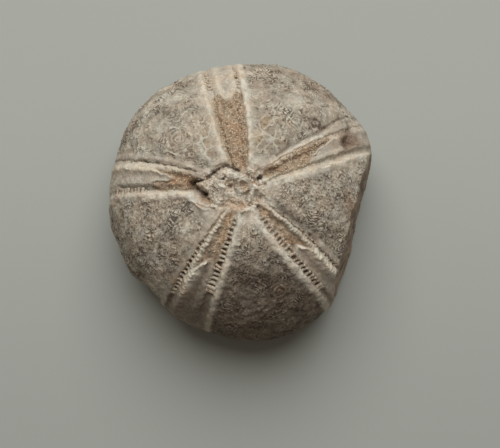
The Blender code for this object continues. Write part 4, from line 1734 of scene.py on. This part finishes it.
def broken_colour(graph, position, colours):
    """Dull brown and grey stone in broad patches."""
    patch = graph.noise(position, 2.6 * MM, 3.0, 0.55)
    grain = graph.noise(position, 0.6 * MM, 3.0, 0.6)
    value = graph.add(0.52, graph.about(patch, 0.5, 3.0), graph.about(grain, 0.5, 1.2))
    return graph.tones(value, colour(colours.pits), colour(colours.broken), colour(colours.ground))


def sound_stone(graph, position, rings, fine, colours):
    """The finishes of the whole stone: panels, tongues, crown, fill and combs."""
    bare = tongue_colour(graph, position, colours)
    # Tongues darkened the same way: darker stone and painted shade
    bare = graph.blend(graph.attribute("dusk"), bare, colour(colours.dusk), "MULTIPLY")
    stone = panel_colour(graph, position, rings, colours)
    stone = graph.blend(graph.attribute("panel"), bare, stone)
    plated = graph.times(graph.attribute("plated"), graph.step(fine, 0.40, 0.55, 0.5, 0.9))
    stone = graph.blend(plated, stone, plated_colour(graph, position, colours))
    # Bleached patches, one of them painted light on the shaded lower left side
    pale = graph.times(graph.attribute("pale"), 0.75)
    stone = graph.blend(pale, stone, chalk_colour(graph, position, colours))
    stone = graph.blend(graph.attribute("tongue"), stone, bare)
    stone = graph.blend(graph.attribute("crown"), stone, crown_colour(graph, position, colours))
    stone = graph.blend(graph.attribute("fill"), stone, fill_colour(graph, position, colours))
    return graph.blend(graph.attribute("ridge"), stone, ridge_colour(graph, position, colours))


def chalked_stone(graph, position, stone, worn, colours):
    """Shade on the front petals' ends, then chalk on the comb crests and the rims."""
    shade = graph.blend(graph.attribute("shade"), (1.0, 1.0, 1.0, 1.0), colour(colours.shade))
    stone = graph.blend(1.0, stone, shade, "MULTIPLY")
    chalk = chalk_colour(graph, position, colours)
    chalk = graph.blend(graph.times(graph.attribute("cream"), 0.6), chalk, colour(colours.cream))
    stone = graph.blend(graph.times(graph.attribute("crest"), worn, 0.75), stone, chalk)
    patchy = graph.step(graph.noise(position, 1.1 * MM, 3.0, 0.6), 0.36, 0.52, 0.5, 1.0)
    return graph.blend(graph.times(graph.attribute("rim"), patchy), stone, chalk)


def soiled_stone(graph, stone, worn, colours):
    """Stains and rust, brown stain and painted shade in the slots, and dirt in the pits."""
    stone = graph.blend(graph.times(graph.attribute("brown"), worn), stone, colour(colours.stain))
    rusty = graph.times(graph.attribute("rust"), worn, 0.75)
    stone = graph.blend(rusty, stone, colour(colours.rust))
    slots = graph.attribute("slots")
    stone = graph.blend(graph.times(slots, worn), stone, colour(colours.stain))
    # Painted shade deep in the slots
    stone = graph.blend(graph.step(slots, 0.6, 1.0, 0.0, 0.8), stone, colour(colours.dirt_and_shade))
    return graph.blend(graph.times(graph.attribute("pit"), worn), stone, colour(colours.dirt_and_shade))


def tinged_stone(graph, position, stone, colours):
    """Faintly pinkish and greyish parts all over."""
    tinge = graph.step(graph.noise(position, 2.6 * MM, 2.0, 0.5), 0.38, 0.62)
    tinge = graph.blend(tinge, colour(colours.cool), colour(colours.blush))
    return graph.blend(0.9, stone, tinge, "MULTIPLY")


def stone_material(sizes, colours):
    """Weathered stone: each finish laid over the one before it, where its mask shows it."""
    material, graph, shader = new_material("weathered stone")
    position = graph.position()
    rings = silica_rings(graph, position, sizes.ring_pitch)
    fine = graph.noise(position, 0.25 * MM, 3.0, 0.6)
    worn = graph.step(fine, 0.35, 0.60, 1.0, 0.5)
    stone = sound_stone(graph, position, rings, fine, colours)
    stone = chalked_stone(graph, position, stone, worn, colours)
    stone = soiled_stone(graph, stone, worn, colours)
    stone = graph.blend(graph.attribute("broken"), stone, broken_colour(graph, position, colours))
    stone = tinged_stone(graph, position, stone, colours)
    graph.put(shader.inputs["Base Color"], stone)
    graph.put(shader.inputs["Roughness"], graph.step(fine, 0.3, 0.7, 0.96, 0.80))
    shader.inputs["Specular IOR Level"].default_value = DULL_SHINE
    height = graph.times(rings, ring_share(graph, position), graph.attribute("panel"))
    height = graph.add(height, graph.noise(position, 0.30 * MM, 3.0, 0.6))
    add_bump(graph, shader, height, 0.10 * MM)
    return material


def tinted_colour(graph, first, second):
    """Each tooth's or knob's own tone between two colours."""
    tint = graph.step(graph.attribute("tint"), -0.6, 1.4)
    return graph.blend(tint, colour(first), colour(second))


def comb_material(colours):
    """Chalky teeth with a little dirt."""
    material, graph, shader = new_material("chalky teeth")
    fine = graph.noise(graph.position(), 0.3 * MM, 2.0, 0.6)
    chalk = tinted_colour(graph, colours.sediment, colours.chalk_shade)
    stone = graph.blend(graph.step(fine, 0.52, 0.34), chalk, colour(colours.stain))
    finish_grains(graph, shader, stone, fine, Finish(0.95, 0.82, DULL_SHINE, 0.06 * MM))
    return material


def grain_material(colours):
    """Sand grains from brown over rust to cream."""
    material, graph, shader = new_material("sand grains")
    tint = graph.attribute("tint")
    stone = graph.blend(graph.step(tint, 0.0, 0.5), colour(colours.fill), colour(colours.rust))
    stone = graph.blend(graph.step(tint, 0.5, 0.9), stone, colour(colours.cream))
    fine = graph.noise(graph.position(), 0.2 * MM, 2.0, 0.6)
    stone = graph.blend(graph.step(fine, 0.5, 0.3), stone, colour(colours.dirt_and_shade))
    finish_grains(graph, shader, stone, fine, Finish(0.92, 0.75, COMMON_SHINE, 0.03 * MM))
    return material


def crumb_material(colours):
    """Chalky crumbs from brown to white."""
    material, graph, shader = new_material("chalky crumbs")
    fine = graph.noise(graph.position(), 0.25 * MM, 2.0, 0.6)
    tint = graph.attribute("tint")
    stone = graph.tones(
        tint, colour(colours.fill), colour(colours.chalk_shade), colour(colours.chalk)
    )
    finish_grains(graph, shader, stone, fine, Finish(0.95, 0.82, DULL_SHINE, 0.03 * MM))
    return material


def tubercle_material(colours):
    """Worn knobs of pale stone."""
    material, graph, shader = new_material("worn tubercles")
    fine = graph.noise(graph.position(), 0.3 * MM, 2.0, 0.6)
    chalk = tinted_colour(graph, colours.chalk, colours.silica)
    stone = graph.blend(graph.step(fine, 0.5, 0.3), chalk, colour(colours.pits))
    finish_grains(graph, shader, stone, fine, Finish(0.95, 0.82, COMMON_SHINE, 0.04 * MM))
    return material


# Painted shade: between these places along y the floor goes from its front tone, a share of its
# back tone, so that it is darker in front
FLOOR_FRONT = -50.0 * MM
FLOOR_BACK = 25.0 * MM
FLOOR_FRONT_TONE = 0.87


def floor_material(colours):
    """Plain matt floor, with painted shade making it a little dimmer in front."""
    material, graph, shader = new_material("plain floor")
    along = graph.node("ShaderNodeSeparateXYZ")
    graph.put(along.inputs[0], graph.position())
    tone = graph.step(along.outputs[1], FLOOR_FRONT, FLOOR_BACK, FLOOR_FRONT_TONE, 1.0)
    graph.put(shader.inputs["Base Color"],
              graph.blend(1.0, colour(colours.floor), tone, "MULTIPLY"))
    shader.inputs["Roughness"].default_value = 0.85
    shader.inputs["Specular IOR Level"].default_value = 0.15
    return material


# Stage

# Image size, where the fossil's axis stands in it, and how large a known radius shows, in pixels
IMAGE_WIDTH = 500
IMAGE_HEIGHT = 448
AXIS_PIXEL = (244.5, 201.5)
RADIUS_PIXELS = 136.5
SEEN_RADIUS = 25.0 * MM
CAMERA_TILT = math.radians(7.0)
CAMERA_DISTANCE = 0.23
SENSOR_WIDTH = 36.0
FLOOR_SIZE = 1.6


def add_camera():
    """Camera almost straight above, leaning a little towards the front."""
    pixels = RADIUS_PIXELS / SEEN_RADIUS * CAMERA_DISTANCE
    data = bpy.data.cameras.new("camera")
    data.sensor_width = SENSOR_WIDTH
    data.lens = SENSOR_WIDTH * pixels / IMAGE_WIDTH
    data.clip_start = 0.01
    back = Vector((0.0, -math.sin(CAMERA_TILT), math.cos(CAMERA_TILT)))
    right = Vector((1.0, 0.0, 0.0))
    upwards = back.cross(right)
    shift_right = (AXIS_PIXEL[0] - IMAGE_WIDTH / 2) * CAMERA_DISTANCE / pixels
    shift_down = (AXIS_PIXEL[1] - IMAGE_HEIGHT / 2) * CAMERA_DISTANCE / pixels
    aim = Vector(AXIS) + Vector((0.0, 0.0, WIDEST_HEIGHT))
    camera = bpy.data.objects.new("camera", data)
    camera.location = aim + back * CAMERA_DISTANCE - right * shift_right + upwards * shift_down
    camera.rotation_euler = (CAMERA_TILT, 0.0, 0.0)
    bpy.context.scene.collection.objects.link(camera)
    bpy.context.scene.camera = camera


WINDOW_PLACE = (0.02, 0.57, 0.86)
WINDOW_SIZE = 1.10
WINDOW_POWER = 12.5
WINDOW_COLOUR = (1.0, 0.99, 0.96)
SKY_COLOUR = (1.0, 0.84, 0.68)
SKY_STRENGTH = 0.18


def add_window():
    """One soft round window behind the fossil, facing it."""
    data = bpy.data.lights.new("window", "AREA")
    data.shape = "DISK"
    data.size = WINDOW_SIZE
    data.energy = WINDOW_POWER
    data.color = WINDOW_COLOUR
    made = bpy.data.objects.new("window", data)
    made.location = WINDOW_PLACE
    made.rotation_euler = Vector(WINDOW_PLACE).to_track_quat("Z", "Y").to_euler()
    bpy.context.scene.collection.objects.link(made)


def add_sky():
    """Dim warm light from all round, and plain tones."""
    world = bpy.data.worlds.new("sky")
    world.use_nodes = True
    sky = world.node_tree.nodes["Background"]
    sky.inputs["Color"].default_value = colour(SKY_COLOUR)
    sky.inputs["Strength"].default_value = SKY_STRENGTH
    bpy.context.scene.world = world
    bpy.context.scene.view_settings.view_transform = "Standard"


def make_floor(colours):
    """A square of floor at the height on which the fossil rests."""
    half = 0.5 * FLOOR_SIZE
    mesh = bpy.data.meshes.new("floor")
    square = [(-half, -half, 0.0), (half, -half, 0.0), (half, half, 0.0), (-half, half, 0.0)]
    mesh.from_pydata(square, [], [(0, 1, 2, 3)])
    mesh.materials.append(floor_material(colours))
    return object_from("floor", mesh)


# Operators and panel

def settings():
    """The sizes and colours that the user has set."""
    scene = bpy.context.scene
    return scene.urchin_sizes, scene.urchin_colours


def join_root(piece):
    """Make a piece part of the fossil's one body."""
    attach(piece, BODY)


class URCHIN_OT_body(bpy.types.Operator):
    """Build the fossil's body with its petals, panels, crown and broken side"""
    bl_idname = "urchin.body"
    bl_label = "Body"

    def execute(self, context):
        body = make_body(*settings())
        join_root(body)
        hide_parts(NODE)
        return {"FINISHED"}


class URCHIN_OT_combs(bpy.types.Operator):
    """Build the teeth of the pore combs in the ten grooves"""
    bl_idname = "urchin.combs"
    bl_label = "Pore combs"

    def execute(self, context):
        join_root(make_combs(*settings()))
        return {"FINISHED"}


class URCHIN_OT_sand(bpy.types.Operator):
    """Scatter sand grains over the brown fill of the petals"""
    bl_idname = "urchin.sand"
    bl_label = "Sand grains"

    def execute(self, context):
        sizes, colours = settings()
        tree = scatter_tree("sand grains", grain_material(colours), "sand", False)
        join_root(scattered("sand_grains", bpy.data.objects["urchin_body"], tree, {
            "Size": sizes.grain_size, "Density": sizes.grain_density, "Seed": sizes.seed,
        }))
        return {"FINISHED"}


class URCHIN_OT_crumbs(bpy.types.Operator):
    """Scatter chalky crumbs over the crown"""
    bl_idname = "urchin.crumbs"
    bl_label = "Crumbs"

    def execute(self, context):
        sizes, colours = settings()
        tree = scatter_tree("crumbs", crumb_material(colours), "crumbs", False)
        join_root(scattered("crumbs", bpy.data.objects["urchin_body"], tree, {
            "Size": sizes.crumb_size, "Density": sizes.crumb_density, "Seed": sizes.seed,
        }))
        return {"FINISHED"}


class URCHIN_OT_tubercles(bpy.types.Operator):
    """Scatter worn tubercles over the underside"""
    bl_idname = "urchin.tubercles"
    bl_label = "Tubercles"

    def execute(self, context):
        sizes, colours = settings()
        tree = scatter_tree("tubercles", tubercle_material(colours), "under", True)
        join_root(scattered("tubercles", bpy.data.objects["urchin_body"], tree, {
            "Size": sizes.tubercle_size, "Density": TUBERCLE_DENSITY,
            "Gap": sizes.tubercle_gap, "Seed": sizes.seed,
        }))
        return {"FINISHED"}


class URCHIN_OT_stage(bpy.types.Operator):
    """Add the plain floor, the soft lights and the camera"""
    bl_idname = "urchin.stage"
    bl_label = "Stage"

    def execute(self, context):
        make_floor(settings()[1])
        add_window()
        add_sky()
        add_camera()
        return {"FINISHED"}


OPERATORS = (
    URCHIN_OT_body, URCHIN_OT_combs, URCHIN_OT_sand, URCHIN_OT_crumbs, URCHIN_OT_tubercles,
    URCHIN_OT_stage,
)


class URCHIN_PT_panel(bpy.types.Panel):
    """Lists the fossil's pieces, sizes and colours"""
    bl_idname = "URCHIN_PT_panel"
    bl_label = "Sea Urchin"
    bl_space_type = "VIEW_3D"
    bl_region_type = "UI"
    bl_category = "Sea Urchin"

    def draw(self, context):
        for operator in OPERATORS:
            self.layout.operator(operator.bl_idname)
        for group in (context.scene.urchin_sizes, context.scene.urchin_colours):
            box = self.layout.box()
            for name in group.__annotations__:
                box.prop(group, name)


CLASSES = (UrchinSizes, UrchinColours) + OPERATORS + (URCHIN_PT_panel,)


def register():
    """Make the settings, operators and panel known."""
    for item in CLASSES:
        bpy.utils.register_class(item)
    bpy.types.Scene.urchin_sizes = bpy.props.PointerProperty(type=UrchinSizes)
    bpy.types.Scene.urchin_colours = bpy.props.PointerProperty(type=UrchinColours)


def unregister():
    """Take away what register added."""
    del bpy.types.Scene.urchin_colours
    del bpy.types.Scene.urchin_sizes
    for item in reversed(CLASSES):
        bpy.utils.unregister_class(item)


def corners(box):
    """A box's two corners as plain lists."""
    return [list(corner) for corner in box]


def main():
    """Build every piece and the stage."""
    register()
    bpy.ops.urchin.body()
    bpy.ops.urchin.combs()
    bpy.ops.urchin.sand()
    bpy.ops.urchin.crumbs()
    bpy.ops.urchin.tubercles()
    bpy.ops.urchin.stage()


if __name__ == "__main__":
    main()
